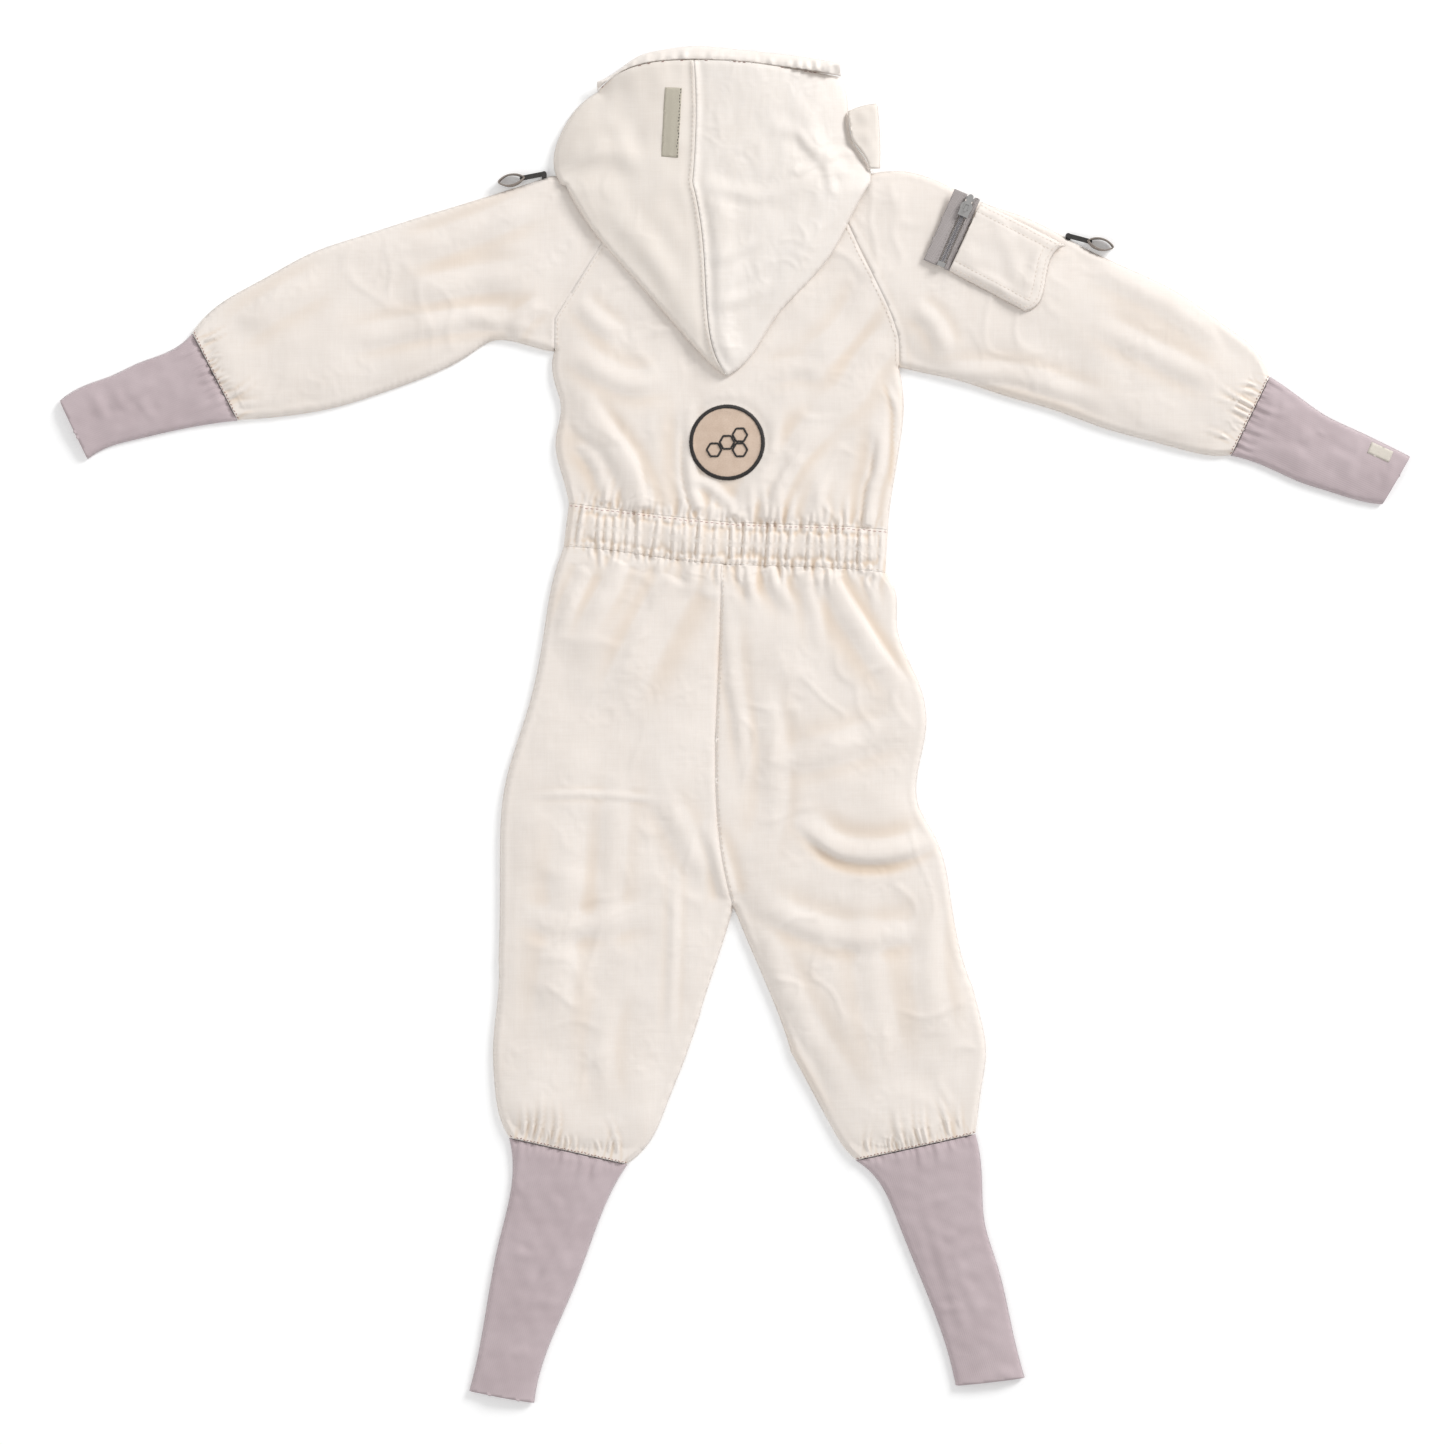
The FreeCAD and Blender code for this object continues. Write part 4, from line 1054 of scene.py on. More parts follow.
hoodCreases = [
    crease([(-20, 406), (-14, 380), (-10, 345), (-12, 300), (-6, 268)], 2.0, (10, 6), (0.15, 0.1)),
    crease([(-31, 405), (-12, 402), (10, 396), (40, 398)], 1.3, (6, 5)),
    crease([(-22, 313), (-6, 316), (12, 322), (30, 335)], 1.4, (5, 5)),
    crease([(-22, 345), (-2, 352), (22, 366)], 1.1, (5, 4)),
    crease([(-112, 398), (-80, 372), (-55, 340), (-30, 296)], 1.6, (9, 7)),
    crease([(-122, 420), (-98, 428), (-66, 420)], 1.2, (8, 8)),
    crease([(-104, 462), (-86, 440), (-78, 410)], 1.0, (7, 7)),
    crease([(52, 470), (60, 440), (82, 408)], 1.5, (6, 8)),
    crease([(96, 410), (72, 420), (50, 440), (20, 452)], 1.2, (5, 6)),
    crease([(90, 398), (62, 372), (42, 340), (20, 300)], 1.6, (7, 9)),
    crease([(64, 424), (70, 412), (74, 392)], 1.2, (3.5, 3.5)),
    crease([(64, 424), (78, 430), (94, 428)], 1.1, (3, 4)),
    crease([(64, 424), (54, 434), (46, 448)], 1.0, (3, 3)),
    crease([(64, 424), (52, 416), (38, 414)], 0.9, (3, 3)),
]


def hoodHeight(points, distance):
    y = points[:, 1]
    for fold in hoodFolds:
        distance = np.minimum(distance, nearest(points, fold)[0])
    edge = hood["pouchEdge"] + (hood["floorEdge"] - hood["pouchEdge"]) * smooth((y - 398) / 24)
    z = rolled(distance, edge, hood["top"], hood["slope"])
    calm = smooth(distance / 16)
    away, side, _ = nearest(points, seamLine)
    onRight = side > 0
    z += calm * (0.8 * crinkle(points, 70, 31) + 0.3 * crinkle(points, 26, 32))
    z += calm * np.where(onRight, smooth(away / 8), 0) * (0.55 * creased(points, 26, 33) + 0.24 * creased(points,
                                                                                                          13, 34)
                                                          + 0.09 * crinkle(points, 10, 35))
    z += calm * np.where(onRight, 0, 0.4 * creased(points, 38, 36))
    z += (0.3 + 0.7 * smooth(distance / 8)) * foldHeights(points, hoodCreases)
    z += smooth(distance / 5) * hood["ridge"] * (np.exp(-(away / 2.4) ** 2) - 0.35 * np.exp(-((away - 5.5) / 3.0) ** 2))
    z -= smooth(distance / 5) * 0.5 * np.exp(-(away / 0.6) ** 2)
    for line in (leftBrimLine, rightBrimLine):
        z -= 0.9 * np.exp(-(nearest(points, line)[0] / 2.2) ** 2) * smooth(distance / 4)
    return z


hoodLeft = shell("hoodLeft", [joined(leftSideUp), leftBrimLine, seamLine, hoodEdge["leftPouch"]],
                 ["fold", "open", "open", "fold"], hoodHeight, fineRuns=[leftBrimLine], underside=False, step=2.0,
                 fineStep=1.2)
hoodRight = shell("hoodRight", [hoodEdge["rightSeam"], hoodEdge["rightSeamUp"], rightBrimLine, rightSideUp,
                                hoodEdge["rightPouch"]], ["open", "open", "open", "fold", "fold"], hoodHeight,
                  fineRuns=[rightBrimLine], underside=False, step=1.7, fineStep=1.1)
finish(hoodLeft, hoodSmooth)
finish(hoodRight, hoodSatin)

hemRun = sideOf("hood_hem", (0, 0.2), (0.99, 0.62))
hemFoot = sideOf("hood_hem", (0, 0), (1, 0.33))
hemCreases = []
hemRng = np.random.default_rng(41)
for _ in range(26):
    x = hemRng.uniform(-95, 74)
    base = atX(hemFoot, x)
    hemCreases.append(crease([(x, base - 2), (x + hemRng.uniform(-3, 3), base + hemRng.uniform(7, 14))],
                             hemRng.uniform(0.3, 1.1) * (1.3 if x > 30 else 0.7), (2.2, 1.8), (0, 0.5)))


def hemHeight(points, distance):
    z = rolled(distance, 9.0, hood["top"] - 0.2, 7)
    y = points[:, 1]
    for fold in (leftSideUp, rightSideUp):
        away = nearest(points, fold)[0]
        z = np.minimum(z, rolled(away, hood["floorEdge"] + 2, hood["top"], 12))
    z += smooth(distance / 3) * (foldHeights(points, hemCreases) + 0.25 * crinkle(points, 9, 42))
    z -= 1.0 * np.exp(-(nearest(points, hemFoot)[0] / 1.6) ** 2)
    return z


hoodHem = shell("hoodHem", [hemRun, np.array([hemRun[-1], hemFoot[-1]]), hemFoot[::-1],
                            np.array([hemFoot[0], hemRun[0]])],
                ["fold", "open", "open", "open"], hemHeight, low=lambda p, d: 8.0 + 0 * d, fineRuns=[hemFoot],
                fineStep=1.1, step=1.8)
finish(hoodHem, hoodSatin)


def inset(run, distance, towards):
    # the run moved sideways towards a place
    ahead = np.gradient(run, axis=0)
    ahead /= np.maximum(np.linalg.norm(ahead, axis=1), 1e-9)[:, None]
    side = np.stack([-ahead[:, 1], ahead[:, 0]], 1)
    if ((np.array(towards) - run[len(run) // 2]) @ side[len(run) // 2]) < 0:
        side = -side
    return run + side * distance


def pouchLow(points, distance):
    z = hood["pouchEdge"] - 0.6 + 0.5 * smooth(distance / 20) * crinkle(points, 40, 51)
    return z


pouchRuns = [hoodEdge["leftPouch"], np.array([hoodEdge["leftPouch"][-1], hoodEdge["rightPouch"][0]]),
             hoodEdge["rightPouch"]]
hoodLining = shell("hoodLining", pouchRuns, ["fold", "open", "fold"], pouchLow, underside=False, thickness=0.6,
                   step=3.0)
finish(hoodLining, lining)


def hoodSide(name, run, width, towards):
    # the hood's front layer: it turns under from the side and rests on the floor
    run = np.array([p for p in run if p[1] > hood["tuck"] + 2])
    inner = inset(run, width, towards)
    runs = [run, np.array([run[-1], inner[-1]]), inner[::-1], np.array([inner[0], run[0]])]

    def lie(points, distance):
        return 1.0 + (hood["floorEdge"] - 1.2) * np.exp(-distance / 3) + 0.5 * smooth(distance / 8) * (
            1 + crinkle(points, 24, 61))
    piece = shell(name, runs, ["fold", "open", "open", "open"], lie, underside=False, thickness=0.7, step=2.4)
    return finish(piece, lining)


hoodFrontLeft = hoodSide("hoodFrontLeft", leftSideUp, 26, (-14, 440))
hoodFrontRight = hoodSide("hoodFrontRight", rightSideUp, 18, (-14, 440))

flapRuns = [sideOf("chin_flap", (0, 0.88), (0.66, 0)), sideOf("chin_flap", (0.66, 0), (0.99, 0)),
            sideOf("chin_flap", (0.99, 0), (0.91, 1)), sideOf("chin_flap", (0.91, 1), (0, 0.88))]


def flapHeight(points, distance):
    outer = np.minimum(nearest(points, flapRuns[2])[0], nearest(points, flapRuns[3])[0])
    z = rolled(outer, 6.5, 11.6, 6)
    return z + 0.5 * crinkle(points, 14, 71) * smooth(outer / 5)


chinFlap = shell("chinFlap", flapRuns, ["open", "open", "fold", "fold"], flapHeight, low=lambda p, d: 6.0 + 0 * d,
                 step=1.5)
finish(chinFlap, hoodSmooth)
print("hood made")


# ---- sleeve pocket

def lineFrame(head, foot):
    # for places near a straight line: how far along it and how far to its right they are
    head, foot = np.array(head), np.array(foot)
    ahead = (foot - head) / np.linalg.norm(foot - head)
    side = np.array([-ahead[1], ahead[0]])
    return head, ahead, side, float(np.linalg.norm(foot - head))


wideTape = outlineOf("pocket_zip_wide_tape")
narrowTape = outlineOf("pocket_zip_narrow_tape")


def cornerOf(outline, share):
    low, high = outline.min(0), outline.max(0)
    return outline[np.argmin(np.linalg.norm(outline - low - (high - low) * np.array(share), axis=1))]


zipHead = (cornerOf(wideTape, (1, 0.93)) + cornerOf(narrowTape, (0.86, 1))) / 2
zipFoot = (cornerOf(wideTape, (0.29, 0)) + cornerOf(narrowTape, (0, 0.03))) / 2
zipStart, zipAhead, zipSide, zipLength = lineFrame(zipHead, zipFoot)
pocketTop = sideOf("pocket_bag", (0.28, 1), (1, 0.6))
pocketSide = sideOf("pocket_bag", (1, 0.6), (0.64, 0))
pocketFoot = sideOf("pocket_bag", (0.64, 0), (0, 0.37))
pocketMouth = sideOf("pocket_bag", (0, 0.37), (0.28, 1))
pocketCreases = [
    crease([(186, 386), (200, 366), (214, 330)], 0.7, (6, 6)),
    crease([(232, 364), (224, 344), (215, 322)], 1.0, (5, 4)),
    crease([(172, 338), (190, 334), (208, 322)], 0.9, (4, 5)),
    crease([(190, 392), (214, 378), (240, 362)], 0.7, (3, 4)),
]


def pocketHeight(points, distance):
    z = rolled(distance, 10.6, 15.2, 5)
    z += smooth(distance / 7) * (0.35 * crinkle(points, 22, 81) + 0.3 * creased(points, 17, 82))
    z += smooth(distance / 5) * foldHeights(points, pocketCreases)
    for inward in (3.0, 8.5):
        z -= 0.45 * np.exp(-((distance - inward) / 0.8) ** 2)
    return z


sleevePocket = shell("sleevePocket", [pocketTop, pocketSide, pocketFoot, pocketMouth],
                     ["fold", "fold", "fold", "open"],
                     pocketHeight, low=lambda p, d: 10.9 + 0 * d, step=1.4)
finish(sleevePocket, canvas)


def flatTape(name, runs, kinds, height, origin, ahead, side, material, step=1.2, thickness=0.8):
    def measures(points):
        return {"along": (points - origin) @ ahead, "across": (points - origin) @ side}
    piece = shell(name, runs, kinds, height, underside=False, attributes=measures, step=step, thickness=thickness)
    return finish(piece, material)


def polygonRuns(outline):
    return [np.array([a, b]) for a, b in zip(outline, np.roll(outline, -1, 0))]


def tapeHeight(points, distance):
    along, across = (points - zipStart) @ zipAhead, (points - zipStart) @ zipSide
    z = 12.2 + 0.25 * crinkle(points, 18, 83) * smooth(np.abs(across) / 4)
    return z - 0.9 * smooth((np.abs(across) - 8) / 8)


pocketWideTape = flatTape("pocketWideTape", polygonRuns(wideTape), ["open"] * 4, tapeHeight, zipStart, zipAhead,
                          zipSide, webbing)
pocketNarrowTape = flatTape("pocketNarrowTape", polygonRuns(narrowTape), ["open"] * 4, tapeHeight, zipStart, zipAhead,
                            zipSide, webbing)


def zipCoil(name, start, ahead, side, length, z, pitch=1.25, reach=2.1):
    # the coils of a closed zip: bent filaments that hook into each other down its middle
    threads = []
    for i in range(int(length / pitch)):
        for hand in (1, -1):
            at = (i + (0.25 if hand > 0 else 0.75)) * pitch
            middle = np.array(start) + np.array(ahead) * at
            line = []
            for out, rise in ((2.3, -0.7), (2.0, 0.35), (0.9, 0.75), (-0.1, 0.55), (-0.55, -0.15)):
                p = middle + np.array(side) * hand * out * reach / 2.3
                line.append((p[0], p[1], z + rise))
            threads.append(line)
    return finish(capsules(name, threads, 0.42, sides=6), coilLook)


pocketCoil = zipCoil("pocketCoil", zipStart + zipAhead * 1.5, zipAhead, zipSide, zipLength - 4.5, 13.0)
print("pocket made")


# ---- front zip, seen from below

tapeLow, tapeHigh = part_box("front_zip_tapes")
tapeLow, tapeHigh = np.array(tapeLow) / mm, np.array(tapeHigh) / mm
frontMiddle = (tapeLow[0] + tapeHigh[0]) / 2
frontHead = np.array([frontMiddle, tapeHigh[1]])


def stripRuns(left, right, foot, head):
    corners = np.array([(left, foot), (right, foot), (right, head), (left, head)], float)
    return polygonRuns(corners)


frontTapes = []
for tapeName, left, right in (("frontTapeLeft", tapeLow[0], frontMiddle - 0.5),
                              ("frontTapeRight", frontMiddle + 0.5, tapeHigh[0])):
    tape = flatTape(tapeName, stripRuns(left, right, tapeLow[1], tapeHigh[1]), ["open"] * 4,
                    lambda points, distance: 2.9 + 0.15 * crinkle(points, 30, 84), frontHead, np.array([0, -1.0]),
                    np.array([1.0, 0]), webbing, step=2.4)
    frontTapes.append(tape)
frontCoil = zipCoil("frontCoil", frontHead + np.array([0, -4.0]), (0, -1), (1, 0),
                    tapeHigh[1] - tapeLow[1] - 8, 4.3, pitch=1.6)

elasticTop = sideOf("waist_elastic", (0, 1), (1, 0.57))
elasticFoot = sideOf("waist_elastic", (1, 0), (0, 0.43))
waistElastic = flatTape("waistElastic", [elasticTop, np.array([elasticTop[-1], elasticFoot[0]]), elasticFoot,
                                         np.array([elasticFoot[-1], elasticTop[0]])], ["open"] * 4,
                        lambda points, distance: 3.2 + 0.5 * np.sin(points[:, 0] * 2 * math.pi / 6.5),
                        np.array([0, 140.0]), np.array([1.0, 0]), np.array([0,
                                                                            1.0]), elasticLook, step=1.6)
print("front zip made")


# ---- patch, labels, loops

badge = {"felt": 0.9, "ring": 1.9, "ringWidth": 3.0, "threads": 260, "emblemWidth": 1.5}


def circle(centre, radius, count=120):
    a = np.linspace(0, 2 * math.pi, count + 1)
    return np.array(centre) + radius * np.stack([np.cos(a), np.sin(a)], 1)


def restingOn(names, rise, blur=0.0):
    # the height of something thin that lies on other pieces
    def height(points, distance):
        result = []
        for x, y in points:
            z, _ = surfaceAt(names, x, y)
            result.append(z if z is not None else 9.0)
        result = np.array(result)
        if blur:
            fit = np.column_stack([points, points ** 2, np.prod(points, axis=1), np.ones(len(points))])
            even = fit @ np.linalg.lstsq(fit, result, rcond=None)[0]
            result = np.maximum(result * (1 - blur) + even * blur, result - 0.2)
        return result + rise * np.sqrt(np.clip(distance / 0.8, 0, 1)) + 0.05
    return height


patchRadius = float((patchHigh - patchLow)[0] / mm / 2)
patchRim = circle(patchAt, patchRadius - 1.2)
patchFill = shell("patchFill", [patchRim], ["fold"], restingOn(["bodice"], badge["felt"], 0.7), underside=False,
                  thickness=0.7, step=1.1)
finish(patchFill, patchFelt)


def threadsAcross(path, width, count, on, lift, rng=None):
    # satin stitch: many threads laid side by side across a path
    threads = []
    shares = (np.arange(count) + 0.5) / count
    middle = evenly(path, shares)
    ahead = evenly(path, np.minimum(1, shares + 0.004)) - evenly(path, np.maximum(0, shares - 0.004))
    ahead /= np.linalg.norm(ahead, axis=1)[:, None]
    side = np.stack([-ahead[:, 1], ahead[:, 0]], 1)
    for p, s, a in zip(middle, side, ahead):
        wander = rng.uniform(-0.12, 0.12, 2)
        line = []
        for t, rise in ((-0.5, -0.35), (-0.36, 0.15), (0.0, 0.42), (0.36, 0.15), (0.5, -0.35)):
            q = p + s * (t * width + (wander[0] if t < 0 else wander[1])) + a * t * 0.5
            z, _ = surfaceAt(on, *q)
            line.append((q[0], q[1], (z if z is not None else 10) + lift + rise))
        threads.append(line)
    return threads


threadRng = np.random.default_rng(91)
ringThreads = threadsAcross(circle(patchAt, patchRadius - badge["ringWidth"] / 2), badge["ringWidth"],
                            badge["threads"], ["bodice", "patchFill"], 0.45, rng=threadRng)
patchBorder = finish(capsules("patchBorder", ringThreads, 0.42, flatten=0.8), darkThread)


def solidBoxes(nodeName):
    # the box of each separate solid in a node
    mesh = frame["nodes"][nodeName].data
    places = [tuple(round(c / mm, 2) for c in v.co) for v in mesh.vertices]
    group = {p: p for p in places}

    def rootOf(p):
        while group[p] != p:
            p = group[p]
        return p
    for face in mesh.polygons:
        corners = [rootOf(places[i]) for i in face.vertices]
        for corner in corners[1:]:
            group[rootOf(corner)] = rootOf(corners[0])
    members = {}
    for p in group:
        members.setdefault(rootOf(p), []).append(p)
    return [(np.min(m, axis=0), np.max(m, axis=0)) for m in members.values()]


emblemThreads = []
for low, high in solidBoxes("patch_emblem"):
    middle, reach = (low + high)[:2] / 2, (high - low)[0] / 2 - badge["emblemWidth"] / 2
    corners = [middle + reach * np.array([math.cos(math.radians(60 * k)), math.sin(math.radians(60 * k))])
               for k in range(7)]
    for a, b in zip(corners, corners[1:]):
        emblemThreads += threadsAcross(np.array([a, b]), badge["emblemWidth"], 9, ["patchFill"], 0.2, rng=threadRng)
patchEmblem = finish(capsules("patchEmblem", emblemThreads, 0.42, flatten=0.8), darkThread)


def label(name, node, on, material, rise):
    outline = outlineOf(node)
    longest = np.argmax(np.linalg.norm(outline - np.roll(outline, -1, 0), axis=1))
    ahead = outline[(longest + 1) % len(outline)] - outline[longest]
    ahead = ahead / np.linalg.norm(ahead)
    side = np.array([-ahead[1], ahead[0]])
    runs = polygonRuns(outline)
    return flatTape(name, runs, ["fold"] * len(runs), restingOn(on, rise, 0.4), outline.mean(0), ahead, side,
                    material, step=1.1, thickness=0.5)


hoodLabel = label("hoodLabel", "hood_label", ["hoodLeft"], labelWeave, 0.9)
cuffLabel = label("cuffLabel", "cuff_label", ["rightCuff"], creamLabel, 0.8)


def gearLoop(name, node, seed):
    # a ribbon on edge, bent into a leaf shape, both ends in the metal tab
    low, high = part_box(node)
    low, high = np.array(low) / mm, np.array(high) / mm
    outline = outlineOf(node)
    count = 90
    path = evenly(np.concatenate([outline, outline[:1]]), np.linspace(0, 1, count, endpoint=False))
    centre = path.mean(0)
    rows, thickness = 8, 0.9
    points, across, along = [], [], []
    gone = 0.0
    for k in range(count):
        p = path[k]
        before, after = path[k - 1], path[(k + 1) % count]
        ahead = (after - before) / np.linalg.norm(after - before)
        out = np.array([ahead[1], -ahead[0]])
        if np.dot(out, p - centre) < 0:
            out = -out
        gone += np.linalg.norm(p - before)
        wave = 0.35 * math.sin(2 * math.pi * k / count * 2 + seed)
        for shift in (0.0, thickness):
            for r in range(rows + 1):
                t = r / rows
                z = low[2] + (high[2] - low[2]) * t
                lean = wave * (t - 0.5) + 0.12 * math.sin(math.pi * t)
                q = p + out * (lean - 0.25) - out * shift
                points.append((q[0], q[1], z))
                across.append(z)
                along.append(gone)
    faces = []
    ring = 2 * (rows + 1)
    for k in range(count):
        a, b = k * ring, ((k + 1) % count) * ring
        for r in range(rows):
            faces.append((a + r, b + r, b + r + 1, a + r + 1))
            inner = rows + 1
            faces.append((a + inner + r + 1, b + inner + r + 1, b + inner + r, a + inner + r))
        faces.append((a + rows, b + rows, b + 2 * rows + 1, a + 2 * rows + 1))
        faces.append((a + rows + 1, b + rows + 1, b, a))
    piece = newMesh(name, points, faces)
    addAttribute(piece, "across", across)
    addAttribute(piece, "along", along)
    return finish(piece, ribbonLook)


leftLoop = gearLoop("leftLoop", "left_loop_ribbon", 0.4)
rightLoop = gearLoop("rightLoop", "right_loop_ribbon", 2.2)
print("patch, labels and loops made")


# ---- stitching

stitchRng = np.random.default_rng(101)


def sewn(name, lines, radius, material):
    return finish(capsules(name, lines, radius), material)


hoodTopNames = ["hoodLeft", "hoodRight", "hoodHem"]
brimStitches = sewn("brimStitches", stitchLine(leftBrimLine, hoodTopNames, 2.6, 0.9, zigzag=0.15, rng=stitchRng)
                    + stitchLine(rightBrimLine, hoodTopNames, 2.6, 0.9, zigzag=0.15, rng=stitchRng), 0.26, seamThread)
seamStitches = sewn("hoodSeamStitches", stitchLine(inset(seamLine, 2.2, (-80, 400)), hoodTopNames, 2.6, 1.0,
                                                   rng=stitchRng), 0.18, creamThread)
canvasNames = ["bodice", "waistband", "leftTrouser", "rightTrouser", "leftSleeve", "rightSleeve"]
casingStitches = sewn("waistStitches", stitchLine(inset(edges["casingTop"], 1.6, (0, 140)), canvasNames, 2.6, 1.3,
                                                  zigzag=0.1, rng=stitchRng), 0.26, pinkThread)
casingFootStitches = sewn("waistFootStitches", stitchLine(inset(edges["casingBottom"], 1.6, (0, 140)), canvasNames,
                                                          2.6, 1.3, rng=stitchRng), 0.2, creamThread)
raglanStitches = sewn("raglanStitches", stitchLine(inset(leftRaglan, 2.4, (-6, 250)), canvasNames, 2.6, 1.0,
                                                   rng=stitchRng)
                      + stitchLine(inset(rightRaglan, 2.4, (-6, 250)), canvasNames, 2.6, 1.0, rng=stitchRng), 0.18,
                      creamThread)
seatStitches = sewn("seatStitches", stitchLine(inset(edges["leftCentre"], 2.0, (60, 0)), canvasNames, 2.6, 1.0,
                                               rng=stitchRng), 0.18, creamThread)


def overlock(name, run, on, towards):
    # the zigzag that shows where knit is sewn to the gathered canvas
    return sewn(name, stitchLine(inset(run, 0.9, towards), on, 1.7, 0.9, zigzag=0.5, rng=stitchRng), 0.3, seamThread)


leftWristStitches = overlock("leftWristStitches", edges["leftWrist"], ["leftSleeve", "leftCuff"], (-300, 300))
rightWristStitches = overlock("rightWristStitches", edges["rightWrist"], ["rightSleeve", "rightCuff"], (300, 300))
leftAnkleStitches = overlock("leftAnkleStitches", edges["leftAnkle"], ["leftTrouser", "leftAnkleCuff"], (-110, -200))
rightAnkleStitches = overlock("rightAnkleStitches", edges["rightAnkle"], ["rightTrouser", "rightAnkleCuff"],
                              (130, -200))
pocketStitches = sewn("pocketStitches", sum([stitchLine(inset(run, away, (200, 350)), ["sleevePocket"], 2.4, 0.9,
                                                        rng=stitchRng)
                                             for run in (pocketTop, pocketSide, pocketFoot)
                                             for away in (3.0, 8.5)], []), 0.18, creamThread)
tapeStitches = sewn("tapeStitches", stitchLine(np.array([zipHead, zipFoot]) - zipSide * 4.6,
                                               ["pocketWideTape", "pocketNarrowTape"], 2.2, 0.9, rng=stitchRng)
                    + stitchLine(np.array([zipHead, zipFoot]) + zipSide * 4.6, ["pocketWideTape", "pocketNarrowTape"],
                                 2.2, 0.9, rng=stitchRng), 0.18, webbing)
labelOutline = outlineOf("hood_label")
labelRight = np.array([cornerOf(labelOutline, (0.82, 0)), cornerOf(labelOutline, (1, 0.99))])
labelStitches = sewn("labelStitches", stitchLine(inset(labelRight, 0.9, (-80, 450)), ["hoodLabel"], 1.6, 0.7,
                                                 rng=stitchRng), 0.28, darkThread)
print("stitching made")


# ---- which piece stands for what, and what it moves with

for piece, material, slotName in ((bodice, canvas, "canvas"), (leftSleeve, canvas, "canvas"),
                                  (rightSleeve, canvas, "canvas"), (leftTrouser, canvas, "canvas"),
                                  (rightTrouser, canvas, "canvas"), (waistband, canvas, "canvas")):
    finish(piece, material)

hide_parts("bodice_back", "bodice_front_left", "bodice_front_right")
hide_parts("left_sleeve", "left_shoulder_cap")
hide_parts("right_sleeve", "right_shoulder_cap")
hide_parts("trouser_back_left", "trouser_front_left", "left_shin", "left_side_seam", "inseam")
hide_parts("trouser_back_right", "trouser_front_right", "right_shin", "right_side_seam")
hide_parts("waistband_casing", "waistband_front")
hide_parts("waist_elastic")
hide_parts("left_cuff")
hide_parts("right_cuff")
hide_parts("left_ankle_cuff")
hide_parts("right_ankle_cuff")
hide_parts("hood_left_panel", "hood_left_brim")
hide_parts("hood_right_panel", "hood_right_brim")
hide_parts("hood_hem")
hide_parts("hood_lining")
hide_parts("hood_left_side")
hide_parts("hood_right_side")
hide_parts("chin_flap")
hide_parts("patch_ground")
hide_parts("patch_border")
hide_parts("patch_emblem")
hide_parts("hood_label")
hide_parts("cuff_label")
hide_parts("pocket_bag")
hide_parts("pocket_zip_wide_tape")
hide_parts("pocket_zip_narrow_tape")
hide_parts("pocket_zip_coils")
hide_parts("front_zip_tapes")
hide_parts("front_zip_coils")
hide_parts("left_loop_ribbon")
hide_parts("right_loop_ribbon")

rides = {
    "suit": [bodice, waistband, waistElastic, hoodHem, hoodFrontLeft, hoodFrontRight, chinFlap, patchFill,
             patchBorder,
             patchEmblem, hoodLabel, brimStitches, casingStitches, casingFootStitches, raglanStitches, seatStitches,
             labelStitches, frontCoil] + frontTapes,
    "hood_point": [hoodLining],
    "left_arm": [leftCuff, leftWristStitches],
    "right_arm": [rightCuff, cuffLabel, rightWristStitches, sleevePocket, pocketWideTape, pocketNarrowTape,
                  pocketCoil,
                  pocketStitches, tapeStitches],
    "left_lower_leg": [leftAnkleCuff, leftAnkleStitches],
    "right_lower_leg": [rightAnkleCuff, rightAnkleStitches],
    "left_loop": [leftLoop],
    "right_loop": [rightLoop],
}
for body, members in rides.items():
    for piece in members:
        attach(piece, body)


def crossing(joint, reach):
    # a joint's place, and a step of a given reach across it, square to the joint's axis
    found = next(j for j in frame["joints"] if j["name"] == joint)
    place = Vector(found["pos_m"])
    axis = Vector(found["axis"]).normalized()
    across = axis.cross(Vector((0, 0, 1)))
    return place, across * reach * mm


bends = {"reach": 13.0, "knee": 16.0, "hood": 7.0}
for pieces, joint, parent, child, reach in (
        ([leftSleeve], "left_sleeve_fold", "suit", "left_arm", bends["reach"]),
        ([rightSleeve], "right_sleeve_fold", "suit", "right_arm", bends["reach"]),
        ([leftTrouser], "left_knee", "suit", "left_lower_leg", bends["knee"]),
        ([rightTrouser], "right_knee", "suit", "right_lower_leg", bends["knee"]),
        ([hoodLeft, hoodRight, seamStitches], "hood_lift", "suit", "hood_point", bends["hood"])):
    place, across = crossing(joint, reach)
    childNodes = frame["record"]["behaviour"]["bodies"][child]
    low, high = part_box(childNodes[0])
    towards = (low + high) / 2 - place
    if towards.dot(across) < 0:
        across = -across
    for piece in pieces:
        place - across
        place + across
        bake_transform(piece)
# ---- carried-over CAD parts

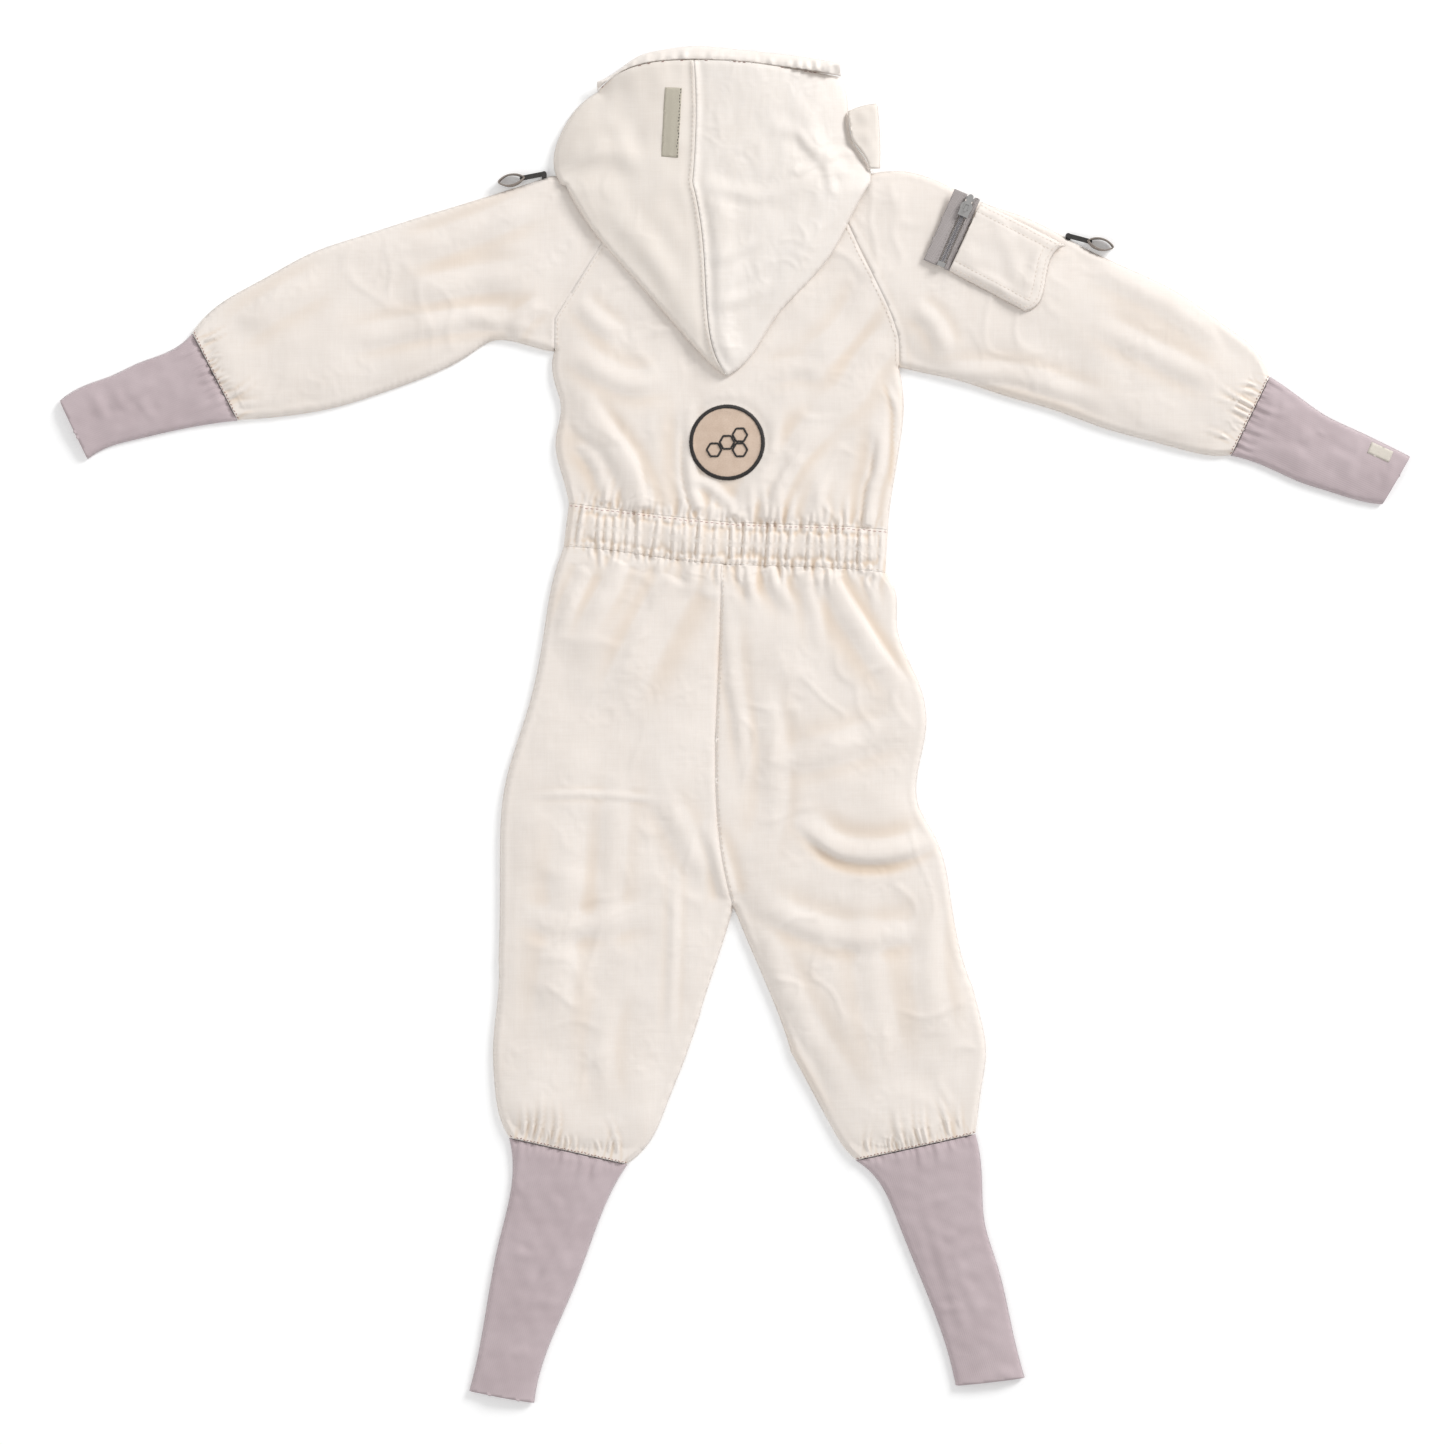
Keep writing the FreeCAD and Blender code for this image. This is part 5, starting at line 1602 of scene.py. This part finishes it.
for nodeName, material in (("front_zip_slider", steel), ("front_zip_pull", steel), ("front_zip_stops", steel),
                           ("pocket_zip_slider", steel), ("pocket_zip_pull", steel), ("pocket_zip_stops", steel),
                           ("left_loop_tab", gunmetal), ("right_loop_tab", gunmetal),
                           ("left_loop_anchor", gunmetal), ("right_loop_anchor", gunmetal)):
    node = frame["nodes"][nodeName]
    node.data.materials.clear()
    node.data.materials.append(material)
    bevel = node.modifiers.new("worn edges", "BEVEL")
    bevel.width = 0.18 * mm
    bevel.segments = 2
    bevel.limit_method = "ANGLE"


# ---- light, floor and camera

shot = {"lens": 100.0, "sensor": 36.0, "seen": 1083.75, "right": -9.4, "up": 1.9}


def makeShot():
    low, high = cadBox
    centre = (Vector(low) + Vector(high)) / 2
    data = bpy.data.cameras.new("camera")
    data.lens = shot["lens"]
    data.sensor_width = shot["sensor"]
    data.clip_end = 20
    camera = bpy.data.objects.new("camera", data)
    bpy.context.scene.collection.objects.link(camera)
    away = shot["seen"] * mm * shot["lens"] / shot["sensor"]
    camera.location = (centre.x + shot["right"] * mm, centre.y + shot["up"] * mm, 0.012 + away)
    bpy.context.scene.camera = camera


makeShot()

floorMesh = bpy.data.meshes.new("floor")
floorMesh.from_pydata([(-3, -3, -0.0004), (3, -3, -0.0004), (3, 3, -0.0004), (-3, 3, -0.0004)], [], [(0, 1, 2, 3)])
floor = bpy.data.objects.new("floor", floorMesh)
bpy.context.scene.collection.objects.link(floor)
floorMesh.materials.append(floorLook.material)

lamps = {
    "key": {"place": (4.2, 3.8, 3.1), "size": 2.1, "power": 270},
    "fill": {"place": (-1.8, -0.4, 2.2), "size": 2.2, "power": 16},
}
for lampName, lamp in lamps.items():
    data = bpy.data.lights.new(lampName, "AREA")
    data.shape = "SQUARE"
    data.size = lamp["size"]
    data.energy = lamp["power"]
    light = bpy.data.objects.new(lampName, data)
    light.location = lamp["place"]
    light.rotation_euler = (Vector((0, 0, 0)) - Vector(lamp["place"])).to_track_quat("-Z", "Y").to_euler()
    bpy.context.scene.collection.objects.link(light)
world = bpy.data.worlds.new("studio")
world.use_nodes = True
world.node_tree.nodes["Background"].inputs["Color"].default_value = (1, 1, 1, 1)
world.node_tree.nodes["Background"].inputs["Strength"].default_value = 0.54
bpy.context.scene.world = world
bpy.context.scene.view_settings.view_transform = "Standard"
